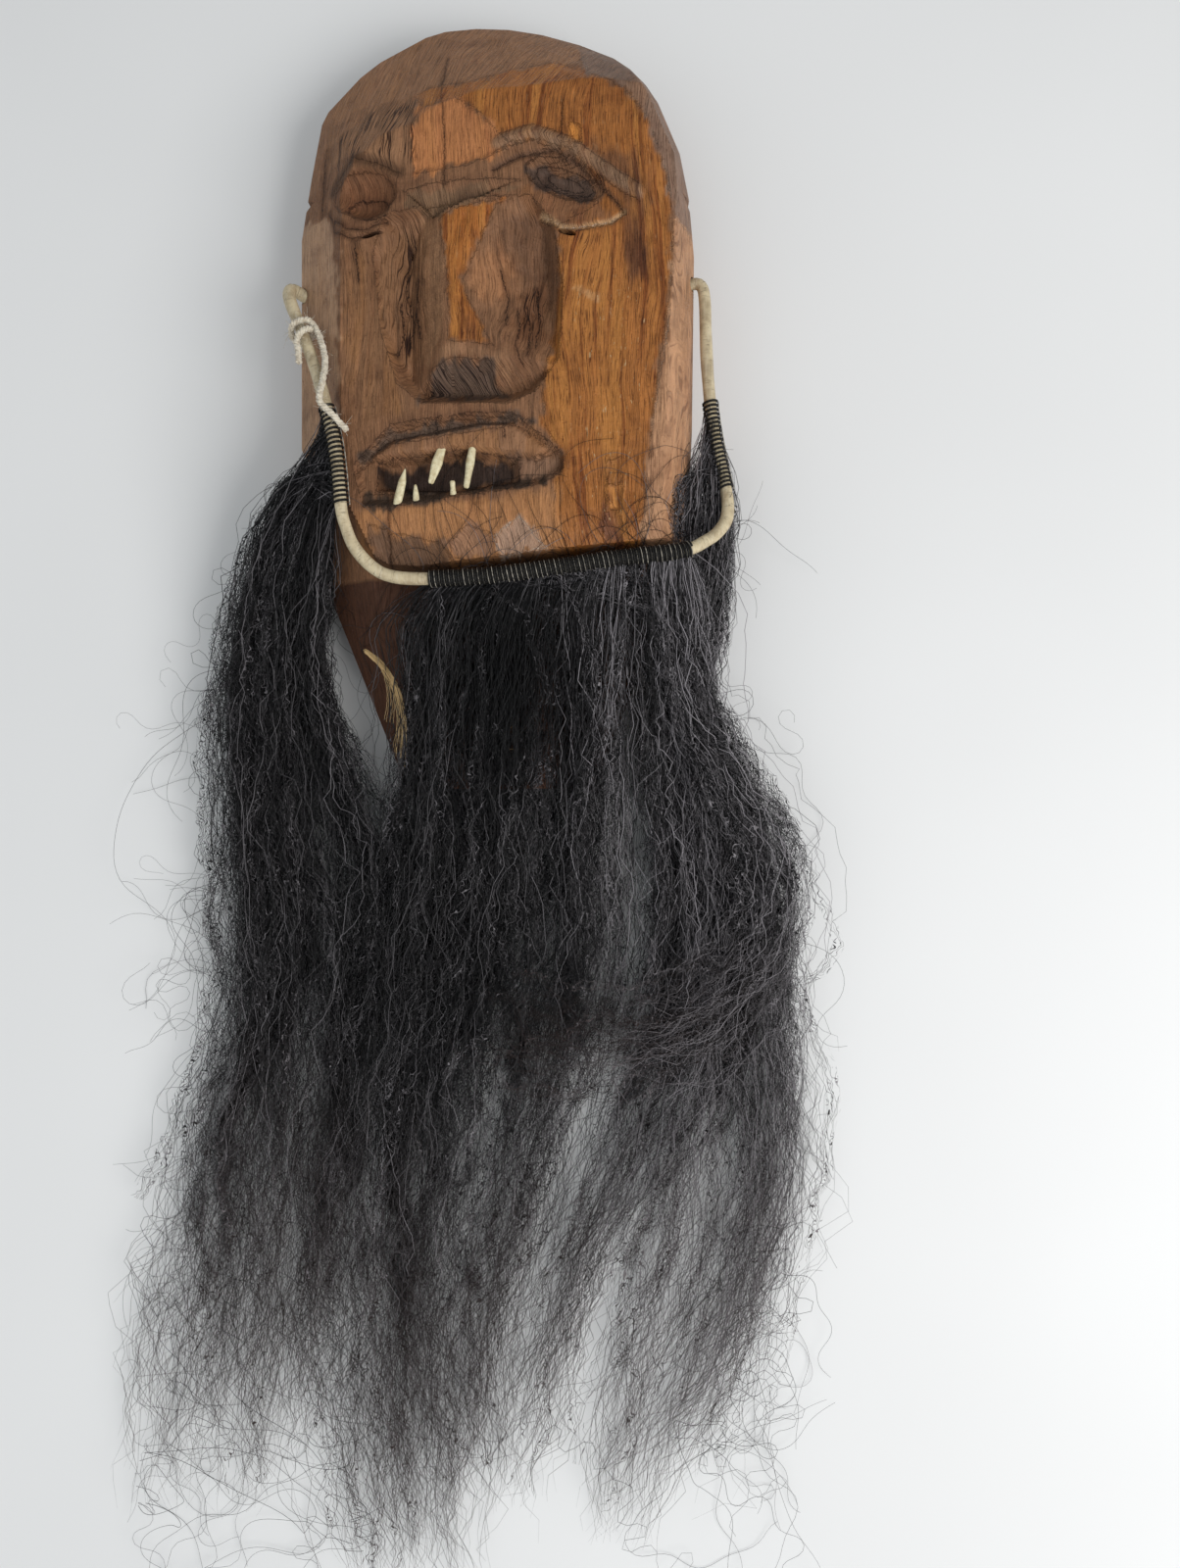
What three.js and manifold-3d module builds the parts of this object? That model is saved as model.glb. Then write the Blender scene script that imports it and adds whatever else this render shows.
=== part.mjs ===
// A hewn wooden folk mask lying on its back, with bone teeth and a long beard of black hair
// lashed to a bent rod. Millimetres. x runs to the viewer's right, y from the chin to the crown
// and z up from the surface that the mask lies on.
import * as THREE from "three";
import { mergeVertices } from "three/addons/utils/BufferGeometryUtils.js";
import Module from "manifold-3d";

const wasm = await Module();
wasm.setup();

// The gap between pieces that touch.
const GAP = 0.3;

// The hewn block. Heights are above its back rim. The face falls a little towards its sides, its
// crown and its chin.
const FACE_HEIGHT = 55;
const SIDE_HEIGHT = 30;
const HALF_WIDTH = 85;
const FACE_CURVE = 4;
const CROWN_FALL = { y: 185, slope: 0.05 };
const CHIN_DROP = 8;
const CHIN_LENGTH = 28;
const WALL = 15;
const ROOF = 17;

// The block's outline, counter-clockwise from the chin's right corner: x, y and the width of the
// bevel along the edge that starts there.
const OUTLINE = [
  [82, 12, 12], [84.3, 64, 9], [85.2, 140, 7], [83, 165, 6], [79, 185, 8], [67.7, 211.4, 10],
  [54.1, 225, 14], [27.6, 235.3, 26], [-2.2, 240, 36], [-27.3, 237.6, 38], [-55.9, 222.1, 32],
  [-75.9, 200.7, 22], [-81, 173.9, 18], [-85.3, 147, 20], [-85.3, 56, 7],
  [-67.5, 24, 4], [-55, 6, 3], [-46, 1, 3], [-32, 0, 3],
];
const NOTCH = { y: 162, tip: 79, mouth: 88, halfWidth: 5 };

// The neck: a slab that steps back under the chin and tapers to a blunt end.
const NECK_START = 34;
const NECK_LENGTH = 91;
const NECK_HALF_WIDTH = 85;
const NECK_TAPER = 0.4;
const NECK_HEIGHT = 34;
const NECK_EDGE_HEIGHT = 16;
const NECK_BEVEL = 22;
const NECK_WALL = 14;
const NECK_ROOF = 14;

// The nose is left standing in a hollow cut round it. Its front is a narrow flat, with a steep
// left flank, a broad right flank and an underside, each given by its edge and its slope.
const NOSE_LEFT = { x: -20.5, slope: 0.8 };
const NOSE_RIGHT = { x: -12, y: 122, bow: 0.013, bowBelow: 0.021, slope: 0.3 };
const NOSE_TIP = { y: 86, slope: 0.85 };
const NOSE_STAND = 1.5;
const HOLLOW = [
  [-50, 132], [-46, 148], [15, 155], [25, 143], [29, 116], [27, 87], [17, 73], [6, 68.5],
  [-30, 68.5], [-40, 77], [-47, 100],
];
const HOLLOW_DEPTH = 10.5;
const HOLLOW_SLOPE = { all: 1.5, left: 0.62, top: 0.5 };
const ROOT_CUT = [[-37, 157], [-14, 161], [11, 161], [-24.5, 146]];
const ROOT_CUT_SLOPE = 0.36;

// The eyes, each a slanted oval hollow, and the wearer's peep slits under them.
const SLIT_LENGTH = 8;
const SLIT_WIDTH = 2.4;
const EYES = [
  { x: -54, y: 157, halfLength: 14, halfHeight: 10, depth: 6.5, turn: 0.05, slit: [-51, 138] },
  { x: 29.5, y: 162, halfLength: 17, halfHeight: 8, depth: 6, turn: -0.32, slit: [32.3, 138.5] },
];
const EYE_DISH = { depth: 2, reach: 3.2 };
const EYE_ROUNDING = 0.6;
const BROW = [[2, 176], [16, 180.5], [33, 175], [50, 163], [60, 157]];
const BROW_HEIGHT = 1.8;
const BROW_HALF_WIDTH = 3.5;

// The mouth, its corners taken clockwise from the left one, and the bone pegs set in it as teeth.
const MOUTH = [
  [-58.5, 43], [-42.5, 60], [-8.5, 64.5], [8, 64.5], [29, 48], [29, 41], [20, 35], [-40, 26.5],
  [-54.5, 26.5],
];
const UPPER_LIP = [
  [-54.5, 45], [-42, 54], [-5, 61], [8, 61.5], [24, 50], [18, 45], [10, 47], [-14, 49.5],
  [-48, 45],
];
const OPENING = [[-48, 45], [-14, 49.5], [10, 46.5], [11, 36.5], [-16, 32], [-49, 33]];
const LIP_DEPTH = 3.5;
const LIP_STAND = 3;
const OPENING_DEPTH = 8;
const MOUTH_SLOPE = { lip: 1.2, upperLip: 1.5, opening: 2.5 };
const TOOTH_LENGTH_IN_WOOD = 6;
const TOOTH_SINK = 2.2;
const TOOTH_LEAN = 0.8;
const TEETH = [
  { root: [-40, 27], tip: [-36.5, 41.5], radius: 1.9, point: 0.3 },
  { root: [-32, 28], tip: [-32.3, 35], radius: 1.4, point: 0.5 },
  { root: [-22.8, 46], tip: [-26, 35.4], radius: 2.2, point: 1.2 },
  { root: [-16.6, 30.5], tip: [-17, 36.6], radius: 1.4, point: 1.1 },
  { root: [-9.4, 46], tip: [-11.3, 33.5], radius: 1.8, point: 1.1 },
];
const TOOTH_SIDES = 7;
const TOOTH_BULGE = { root: 0.8, at: 0.45, shoulder: 0.75 };

// The grid of the carved front: bands of x and of y, each with its start, its end and its step.
const GRID_X = [[-88, -64, 6], [-64, 62, 3.7], [62, 88, 6.5]];
const GRID_Y = [[-10, 24, 5.6], [24, 66, 3.1], [66, 130, 5.8], [130, 184, 3.6], [184, 242, 8]];

// Points whose heights are told from one of the block's own.
const above = (height, points) => points.map(([x, y, rise]) => [x, y, height + rise]);

// The rod of the beard frame, from its left end in the wood round under the chin to its right end.
const ROD_RADIUS = 2.6;
const ROD_SIDES = 8;
const ROD_STEPS = 60;
const ROD = [
  ...above(SIDE_HEIGHT, [
    [-75, 118, -3], [-83, 122, 0.5], [-88.4, 124.2, 3.5], [-88.6, 119, 8]]),
  ...above(FACE_HEIGHT, [
    [-83.8, 107, -12.5], [-77, 91, -5.5], [-70.5, 73, 0.5], [-65.4, 53, 2.5], [-63.6, 40, 2.5],
    [-62.4, 25, 1.8], [-60.9, 17.5, 0.2], [-57.5, 9.1, -0.7], [-51, 1.6, -1.5], [-43, -2.7, -2],
    [-29, -3.9, -2], [-1.5, -2.6, -2], [25, 0.8, -2], [55.5, 5.2, -2.5], [79, 8.2, -4],
    [88.4, 13, -8.5]]),
  ...above(SIDE_HEIGHT, [
    [94, 17.5, 13], [98.2, 24, 10.5], [98.7, 33, 8.5], [96.8, 44.3, 6.5], [94.4, 56.4, 5.5],
    [92.3, 69.6, 5], [90.6, 88, 5], [89.9, 105.4, 4], [89.6, 119.5, 3], [88.3, 126, 2.5],
    [84.5, 127.6, 1.5], [75, 125, -1]]),
];

// The black thread that lashes the hair to the rod: how far along the rod each lashing runs.
const THREAD = 0.9;
const LASHINGS = { left: [0.194, 0.289], chin: [0.413, 0.667], right: [0.757, 0.848] };
const LASHING_STEP = 9;

// The string, knotted round the left arm: how far along the rod, how far round it in turns, and
// the space between the two.
const STRING_RADIUS = 1.5;
const STRING_SIDES = 6;
const STRING_STEPS = 46;
const STRING = [
  [0.140, 0.46, 1.5], [0.128, 0.40, 0.7], [0.116, 0.33, 0.6], [0.109, 0.15, 0.5],
  [0.105, -0.06, 0.4], [0.104, -0.28, 0.3], [0.102, -0.50, 0.4], [0.098, -0.70, 0.5],
  [0.095, -0.92, 0.5], [0.101, -0.98, 1.5], [0.118, -0.97, 2.2], [0.141, -0.95, 1.9],
  [0.158, -0.9, 1.4], [0.176, -0.80, 1.2], [0.193, -0.72, 1.8], [0.208, -0.82, 1.9],
  [0.221, -0.98, 2.1],
];

// The hanks of hair. Each lock is a list of x, y, middle height, half width and half thickness.
const HAIR_FLOOR = 0;
const LOCK_SIDES = 8;
const LOCK_STEPS_PER_STATION = 1.2;
const LOCKS = {
  left: [
    [[-71, 53, FACE_HEIGHT - 1, 6, 5], [-87, 29, 40, 13, 10], [-105, -2, 22, 15, 13], [-114, -45, 14, 16, 13],
      [-115, -89, 12, 15, 12], [-115, -133, 11, 15, 11], [-120, -187, 10, 16, 10],
      [-132, -244, 9, 17, 9], [-143, -303, 8, 15, 8], [-152, -357, 6, 11, 6],
      [-163, -416, 4, 4, 4]],
    [[-68, 38, FACE_HEIGHT - 1, 5, 5], [-82, 5, 32, 13, 10], [-92, -37, 17, 17, 14], [-93, -85, 14, 18, 14],
      [-91, -133, 12, 19, 12], [-96, -186, 11, 19, 11], [-107, -244, 9, 19, 9],
      [-117, -307, 8, 14, 8], [-122, -362, 6, 9, 6], [-118, -403, 4, 3, 4]],
    [[-66, 30, FACE_HEIGHT - 3, 4, 5], [-73, -3, 29, 8, 9], [-78, -37, 18, 11, 12], [-77, -67, 15, 14, 13],
      [-70, -107, 13, 18, 13], [-66, -151, 12, 19, 12], [-72, -200, 10, 18, 10],
      [-84, -258, 9, 13, 9], [-96, -312, 7, 10, 7], [-101, -367, 4, 4, 4]],
  ],
  chin: [
    [[-20, -4, FACE_HEIGHT - 7, 14, 5], [-22, -43, 43, 17, 7], [-26, -81, 38, 18, 9], [-34, -119, 22, 20, 14],
      [-42, -164, 14, 21, 14], [-49, -213, 11, 20, 11], [-56, -262, 9, 19, 9],
      [-60, -312, 8, 16, 8], [-55, -361, 7, 14, 7], [-45, -411, 6, 11, 6], [-29, -470, 4, 4, 4]],
    [[10, -3, FACE_HEIGHT - 7, 18, 5], [8, -43, 44, 20, 8], [6, -85, 38, 21, 10], [-2, -128, 22, 23, 14],
      [-11, -177, 14, 22, 14], [-23, -226, 11, 19, 11], [-34, -276, 9, 17, 9],
      [-37, -329, 8, 15, 8], [-32, -379, 7, 12, 7], [-23, -429, 6, 9, 6], [-10, -466, 4, 3, 4]],
    [[43, 1, FACE_HEIGHT - 7, 18, 5], [44, -43, 43, 20, 8], [43, -85, 38, 21, 10], [39, -128, 22, 23, 14],
      [30, -177, 14, 23, 14], [16, -222, 11, 17, 11], [0, -271, 9, 13, 9], [-13, -325, 8, 12, 8],
      [-20, -379, 7, 9, 7], [-15, -434, 4, 3, 4]],
    [[70, 4, FACE_HEIGHT - 8, 14, 5], [69, -43, 37, 18, 9], [70, -85, 24, 20, 12], [73, -128, 16, 22, 14],
      [69, -177, 13, 20, 13], [59, -222, 11, 16, 11], [44, -271, 9, 13, 9], [28, -320, 8, 12, 8],
      [15, -366, 7, 9, 7], [3, -416, 4, 3, 4]],
  ],
  right: [
    [[99, 53, SIDE_HEIGHT + 4, 4, 4], [102, 30, 30, 8, 8], [99, -3, 24, 10, 11], [92, -41, 18, 12, 13],
      [93, -80, 15, 14, 13], [99, -120, 13, 18, 13], [103, -160, 12, 19, 12],
      [100, -204, 11, 18, 11], [93, -253, 9, 15, 9], [84, -303, 8, 13, 8], [69, -352, 7, 11, 7],
      [57, -393, 6, 7, 6], [50, -434, 4, 3, 4]],
    [[104, 39, SIDE_HEIGHT, 5, 6], [106, 14, 25, 6, 9], [107, -15, 19, 7, 10], [105, -45, 15, 8, 11],
      [108, -85, 12, 9, 11], [115, -120, 11, 12, 11], [119, -160, 10, 13, 10],
      [121, -205, 9, 13, 9], [123, -249, 8, 12, 8], [117, -298, 8, 12, 8], [104, -348, 7, 10, 7],
      [88, -393, 6, 6, 6], [79, -434, 4, 3, 4]],
    [[127, -169, 9, 5, 7], [135, -213, 9, 9, 9], [139, -254, 8, 10, 8], [132, -303, 7, 9, 7],
      [122, -339, 6, 6, 6], [113, -372, 4, 3, 4]],
  ],
};
// Where one hank ends and the next begins, from the chin down.
const PARTINGS = {
  left: [[-54, 62], [-51, -6], [-52, -80], [-53, -111], [-50, -155], [-62, -200], [-73, -258],
    [-81, -312], [-84, -366], [-84, -538]],
  right: [[87, 63], [87, 3], [84, -42], [85, -85], [88, -129], [86, -177], [79, -222], [67, -271],
    [52, -320], [41, -366], [28, -429], [21, -538]],
};
const FAR = 300;

// Colours, roughness and metalness.
const FINISHES = {
  wood: [0x9a6238, 0.62, 0],
  bone: [0xd9d0b0, 0.45, 0],
  cane: [0xb9ad8c, 0.55, 0],
  black_thread: [0x15130f, 0.5, 0],
  cotton_string: [0xe2dac6, 0.85, 0],
  black_hair: [0x17151a, 0.42, 0],
};

// Turns a closed geometry into a solid that can be joined and cut.
function solid(geometry) {
  const plain = geometry.index ? geometry.toNonIndexed() : geometry.clone();
  plain.deleteAttribute("normal");
  plain.deleteAttribute("uv");
  const merged = mergeVertices(plain, 1e-4);
  const index = merged.index.array;
  const corners = [];
  for (let i = 0; i < index.length; i += 3) {
    const [a, b, c] = [index[i], index[i + 1], index[i + 2]];
    if (a !== b && b !== c && c !== a) corners.push(a, b, c);
  }
  return new wasm.Manifold(new wasm.Mesh({
    numProp: 3,
    vertProperties: new Float32Array(merged.attributes.position.array),
    triVerts: new Uint32Array(corners),
  }));
}

const pieces = new THREE.Group();

// Puts a finished solid in the model under its name.
function place(name, body, finish) {
  const { numProp, vertProperties, triVerts } = body.getMesh();
  const geometry = new THREE.BufferGeometry();
  const positions = new Float32Array((vertProperties.length / numProp) * 3);
  for (let i = 0, j = 0; i < vertProperties.length; i += numProp) {
    positions[j++] = vertProperties[i];
    positions[j++] = vertProperties[i + 1];
    positions[j++] = vertProperties[i + 2];
  }
  geometry.setAttribute("position", new THREE.BufferAttribute(positions, 3));
  geometry.setIndex(new THREE.BufferAttribute(new Uint32Array(triVerts), 1));
  geometry.computeVertexNormals();
  const [color, roughness, metalness] = FINISHES[finish];
  const material = new THREE.MeshStandardMaterial({ color, roughness, metalness });
  const mesh = new THREE.Mesh(geometry, material);
  mesh.name = name;
  pieces.add(mesh);
}

// A prism over a polygon, from one height to another.
function prism(corners, low, high) {
  const shape = new THREE.Shape(corners.map(([x, y]) => new THREE.Vector2(x, y)));
  const geometry = new THREE.ExtrudeGeometry(shape, { depth: high - low, bevelEnabled: false });
  return solid(geometry.translate(0, 0, low));
}

// A round bar or sleeve along a curve. A sleeve's bore is given by its own radius.
function barAlong(curve, radius, sides, steps, bore = 0) {
  const ring = (r) => Array.from({ length: sides }, (_, i) => {
    const angle = (i / sides) * 2 * Math.PI;
    return new THREE.Vector2(r * Math.cos(angle), r * Math.sin(angle));
  });
  const shape = new THREE.Shape(ring(radius));
  if (bore > 0) shape.holes.push(new THREE.Path(ring(bore).reverse()));
  return solid(new THREE.ExtrudeGeometry(shape, { steps, extrudePath: curve, bevelEnabled: false }));
}

// Keeps what lies on the inner side of each sloping plane of the block. The planes rise from the
// outline, one upright and one bevelled to each edge, and move inwards by the inset.
function hewToOutline(body, inset) {
  const rise = FACE_HEIGHT - FACE_CURVE - SIDE_HEIGHT;
  OUTLINE.forEach(([x, y, bevel], i) => {
    const [nextX, nextY] = OUTLINE[(i + 1) % OUTLINE.length];
    const length = Math.hypot(nextX - x, nextY - y);
    const inward = [-(nextY - y) / length, (nextX - x) / length];
    const side = inward[0] * x + inward[1] * y + inset;
    body = body.trimByPlane([inward[0], inward[1], 0], side);
    const slope = Math.hypot(rise, bevel);
    const normal = [(inward[0] * rise) / slope, (inward[1] * rise) / slope, -bevel / slope];
    const through = normal[0] * x + normal[1] * y + normal[2] * SIDE_HEIGHT;
    body = body.trimByPlane(normal, through + inset);
  });
  return body;
}

// How far a point is inside a polygon, as the distance to its nearest edge, or 0 outside it.
function depthInside(corners, x, y) {
  let nearest = Infinity;
  let inside = false;
  corners.forEach(([ax, ay], i) => {
    const [bx, by] = corners[(i + 1) % corners.length];
    const [dx, dy] = [bx - ax, by - ay];
    const along = THREE.MathUtils.clamp(((x - ax) * dx + (y - ay) * dy) / (dx * dx + dy * dy), 0, 1);
    nearest = Math.min(nearest, Math.hypot(x - ax - along * dx, y - ay - along * dy));
    if ((ay > y) !== (by > y) && x < ax + ((y - ay) / dy) * dx) inside = !inside;
  });
  return inside ? nearest : 0;
}

// How close a point is to a line through several points, from 1 on it to 0 at its half width.
function nearLine(points, halfWidth, x, y) {
  let nearest = halfWidth;
  for (let i = 0; i + 1 < points.length; i++) {
    const [[ax, ay], [bx, by]] = [points[i], points[i + 1]];
    const [dx, dy] = [bx - ax, by - ay];
    const along = THREE.MathUtils.clamp(((x - ax) * dx + (y - ay) * dy) / (dx * dx + dy * dy), 0, 1);
    nearest = Math.min(nearest, Math.hypot(x - ax - along * dx, y - ay - along * dy));
  }
  return 1 - nearest / halfWidth;
}

// The nose as the lowest of its planes: the front, two flanks and the underside.
function noseHeight(x, y) {
  const front = FACE_HEIGHT + NOSE_STAND;
  const bow = y > NOSE_RIGHT.y ? NOSE_RIGHT.bow : NOSE_RIGHT.bowBelow;
  const rightEdge = NOSE_RIGHT.x + bow * (y - NOSE_RIGHT.y) ** 2;
  const left = front - NOSE_LEFT.slope * (NOSE_LEFT.x - x);
  const right = front - NOSE_RIGHT.slope * (x - rightEdge);
  const under = front - NOSE_TIP.slope * (NOSE_TIP.y - y);
  return Math.min(front, left, right, under);
}

// How deep the hollow round the nose is: steep at its rim, gentler at the left and the top.
function hollowDepth(x, y) {
  const rim = HOLLOW_SLOPE.all * depthInside(HOLLOW, x, y);
  const left = HOLLOW_SLOPE.left * (x - HOLLOW[0][0]);
  const top = HOLLOW_SLOPE.top * (HOLLOW[2][1] - y);
  return THREE.MathUtils.clamp(Math.min(rim, left, top), 0, HOLLOW_DEPTH);
}

// The carved front, as a height over x and y.
function faceHeight(x, y) {
  let z = FACE_HEIGHT - FACE_CURVE * (x / HALF_WIDTH) ** 2;
  z -= CROWN_FALL.slope * Math.max(0, y - CROWN_FALL.y);
  z -= CHIN_DROP * Math.max(0, 1 - y / CHIN_LENGTH) ** 2;
  for (const eye of EYES) {
    const along = (x - eye.x) * Math.cos(eye.turn) + (y - eye.y) * Math.sin(eye.turn);
    const across = (y - eye.y) * Math.cos(eye.turn) - (x - eye.x) * Math.sin(eye.turn);
    const reach = (along / eye.halfLength) ** 2 + (across / eye.halfHeight) ** 2;
    z -= EYE_DISH.depth * Math.max(0, 1 - reach / EYE_DISH.reach);
    if (reach < 1) z -= (eye.depth - EYE_DISH.depth) * (1 - reach) ** EYE_ROUNDING;
  }
  z += BROW_HEIGHT * nearLine(BROW, BROW_HALF_WIDTH, x, y);
  if (depthInside(ROOT_CUT, x, y) > 0) {
    z = Math.min(z, FACE_HEIGHT - ROOT_CUT_SLOPE * (ROOT_CUT[1][1] - y));
  }
  const depth = hollowDepth(x, y);
  if (depth > 0) z = Math.max(z - depth, Math.min(noseHeight(x, y), z + NOSE_STAND));
  z -= Math.min(LIP_DEPTH, MOUTH_SLOPE.lip * depthInside(MOUTH, x, y));
  z += Math.min(LIP_STAND, MOUTH_SLOPE.upperLip * depthInside(UPPER_LIP, x, y));
  z -= Math.min(OPENING_DEPTH - LIP_DEPTH, MOUTH_SLOPE.opening * depthInside(OPENING, x, y));
  return z;
}

// The stations of a grid over its bands.
function stations(bands) {
  const list = bands.flatMap(([low, high, step]) => {
    const count = Math.round((high - low) / step);
    return Array.from({ length: count }, (_, i) => low + ((high - low) * i) / count);
  });
  return [...list, bands[bands.length - 1][1]];
}

// A closed body under the carved front, over a grid that reaches past the outline.
function carvedBody() {
  const xs = stations(GRID_X);
  const ys = stations(GRID_Y);
  const top = xs.length * ys.length;
  const positions = [];
  for (const y of ys) for (const x of xs) positions.push(x, y, faceHeight(x, y));
  for (const y of ys) for (const x of xs) positions.push(x, y, 0);
  const index = [];
  const at = (i, j) => j * xs.length + i;
  const quad = (a, b, c, d) => index.push(a, b, c, a, c, d);
  for (let j = 0; j + 1 < ys.length; j++) {
    for (let i = 0; i + 1 < xs.length; i++) {
      quad(at(i, j), at(i + 1, j), at(i + 1, j + 1), at(i, j + 1));
      quad(top + at(i, j), top + at(i, j + 1), top + at(i + 1, j + 1), top + at(i + 1, j));
    }
  }
  for (let i = 0; i + 1 < xs.length; i++) {
    const last = ys.length - 1;
    quad(top + at(i, 0), top + at(i + 1, 0), at(i + 1, 0), at(i, 0));
    quad(at(i, last), at(i + 1, last), top + at(i + 1, last), top + at(i, last));
  }
  for (let j = 0; j + 1 < ys.length; j++) {
    const last = xs.length - 1;
    quad(at(0, j), at(0, j + 1), top + at(0, j + 1), top + at(0, j));
    quad(top + at(last, j), top + at(last, j + 1), at(last, j + 1), at(last, j));
  }
  const geometry = new THREE.BufferGeometry();
  geometry.setAttribute("position", new THREE.Float32BufferAttribute(positions, 3));
  geometry.setIndex(index);
  return solid(geometry);
}

// The neck, or with an inset its hollow: a tapered slab with bevelled sides.
function neckBody(inset, high) {
  const halfEnd = NECK_HALF_WIDTH - NECK_TAPER * (NECK_LENGTH + NECK_START / 2);
  const box = new THREE.BoxGeometry(2 * FAR, 2 * FAR, high);
  let body = solid(box.translate(0, 0, high / 2));
  body = body.trimByPlane([0, 1, 0], inset - NECK_LENGTH).trimByPlane([0, -1, 0], -NECK_START);
  const run = Math.hypot(NECK_TAPER, 1);
  for (const side of [-1, 1]) {
    body = body.trimByPlane([-side, 0, 0], inset - NECK_HALF_WIDTH);
    const inward = [-side / run, NECK_TAPER / run];
    const edge = inward[0] * side * halfEnd - inward[1] * NECK_LENGTH;
    body = body.trimByPlane([inward[0], inward[1], 0], edge + inset);
    const rise = NECK_HEIGHT - NECK_EDGE_HEIGHT;
    const slope = Math.hypot(rise, NECK_BEVEL);
    const normal = [(inward[0] * rise) / slope, (inward[1] * rise) / slope, -NECK_BEVEL / slope];
    const through = (edge * rise) / slope + normal[2] * NECK_EDGE_HEIGHT;
    body = body.trimByPlane(normal, through + inset);
  }
  return body;
}

// A tooth lying along the line from its root to its tip, sunk in the wood by its root.
function tooth({ root, tip, radius, point }, extra) {
  const length = Math.hypot(tip[0] - root[0], tip[1] - root[1]) + TOOTH_LENGTH_IN_WOOD;
  const profile = [
    [0, -extra], [radius * TOOTH_BULGE.root + extra, -extra],
    [radius + extra, length * TOOTH_BULGE.at],
    [radius * TOOTH_BULGE.shoulder + extra, length * TOOTH_BULGE.shoulder],
    [point + extra, length + extra], [0, length + extra],
  ].map(([r, h]) => new THREE.Vector2(r, h));
  const geometry = new THREE.LatheGeometry(profile, TOOTH_SIDES);
  const along = new THREE.Vector3(tip[0] - root[0], tip[1] - root[1], TOOTH_LEAN).normalize();
  const turn = new THREE.Quaternion().setFromUnitVectors(new THREE.Vector3(0, 1, 0), along);
  geometry.applyQuaternion(turn);
  const start = along.clone().multiplyScalar(-TOOTH_LENGTH_IN_WOOD);
  const height = FACE_HEIGHT - TOOTH_SINK;
  geometry.translate(root[0] + start.x, root[1] + start.y, height + start.z);
  return solid(geometry);
}

const rodPoints = ROD.map((point) => new THREE.Vector3(...point));
const rodCurve = new THREE.CatmullRomCurve3(rodPoints, false, "centripetal");
rodCurve.arcLengthDivisions = 800;

// A stretch of the rod's curve, for what is wound on it.
class Stretch extends THREE.Curve {
  constructor(from, to) {
    super();
    this.from = from;
    this.to = to;
  }

  getPoint(t, target = new THREE.Vector3()) {
    return target.copy(rodCurve.getPointAt(this.from + (this.to - this.from) * t));
  }
}

const rodLength = rodCurve.getLength();
const rodStretch = new Stretch(GAP / rodLength, 1 - GAP / rodLength);

// A sleeve's bore clears the rod's corners whichever way the two are turned.
const sleeveBore = (ROD_RADIUS + GAP) / Math.cos(Math.PI / ROD_SIDES);
const sleeveRadius = sleeveBore + THREAD;

// A lock of hair: a flattened tube through its stations, closed at both ends.
function lock(list) {
  const middle = new THREE.CatmullRomCurve3(list.map(([x, y, z]) => new THREE.Vector3(x, y, z)));
  const size = new THREE.CatmullRomCurve3(list.map((s) => new THREE.Vector3(s[3], s[4], 0)));
  const steps = Math.round(LOCK_STEPS_PER_STATION * (list.length - 1));
  const positions = [];
  const index = [];
  for (let k = 0; k <= steps; k++) {
    const centre = middle.getPoint(k / steps);
    const forward = middle.getTangent(k / steps);
    const { x: halfWidth, y: halfThickness } = size.getPoint(k / steps);
    const across = new THREE.Vector3(-forward.y, forward.x, 0).normalize();
    const low = Math.max(centre.z, HAIR_FLOOR + halfThickness);
    for (let s = 0; s < LOCK_SIDES; s++) {
      const angle = (s / LOCK_SIDES) * 2 * Math.PI;
      const out = halfWidth * Math.cos(angle);
      const up = halfThickness * Math.sin(angle);
      positions.push(centre.x + across.x * out, centre.y + across.y * out, low + up);
    }
  }
  const ring = (k, s) => k * LOCK_SIDES + (s % LOCK_SIDES);
  for (let k = 0; k < steps; k++) {
    for (let s = 0; s < LOCK_SIDES; s++) {
      index.push(ring(k, s), ring(k, s + 1), ring(k + 1, s + 1));
      index.push(ring(k, s), ring(k + 1, s + 1), ring(k + 1, s));
    }
  }
  for (let s = 1; s + 1 < LOCK_SIDES; s++) {
    index.push(ring(0, 0), ring(0, s + 1), ring(0, s));
    index.push(ring(steps, 0), ring(steps, s), ring(steps, s + 1));
  }
  const geometry = new THREE.BufferGeometry();
  geometry.setAttribute("position", new THREE.Float32BufferAttribute(positions, 3));
  geometry.setIndex(index);
  return solid(geometry);
}

// The wooden block, hollowed from the back.
let mask = hewToOutline(carvedBody(), 0);
mask = mask.add(neckBody(0, NECK_HEIGHT));
const hollow = new THREE.BoxGeometry(2 * FAR, 2 * FAR, 2 * (FACE_HEIGHT - ROOF));
mask = mask.subtract(hewToOutline(solid(hollow), WALL));
mask = mask.subtract(neckBody(NECK_WALL, NECK_HEIGHT - NECK_ROOF).translate(0, 0, -GAP));
for (const eye of EYES) {
  const slit = new THREE.BoxGeometry(SLIT_LENGTH, SLIT_WIDTH, FACE_HEIGHT);
  mask = mask.subtract(solid(slit.translate(eye.slit[0], eye.slit[1], FACE_HEIGHT - ROOF / 2)));
}
for (const side of [-1, 1]) {
  const corners = [
    [side * NOTCH.tip, NOTCH.y], [side * NOTCH.mouth, NOTCH.y - NOTCH.halfWidth],
    [side * NOTCH.mouth, NOTCH.y + NOTCH.halfWidth],
  ];
  mask = mask.subtract(prism(side > 0 ? corners : corners.reverse(), -GAP, FACE_HEIGHT));
}
mask = mask.subtract(barAlong(rodCurve, sleeveBore, ROD_SIDES, ROD_STEPS));
TEETH.forEach((each, i) => {
  mask = mask.subtract(tooth(each, GAP));
  place(`tooth_${i + 1}`, tooth(each, 0), "bone");
});
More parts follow.
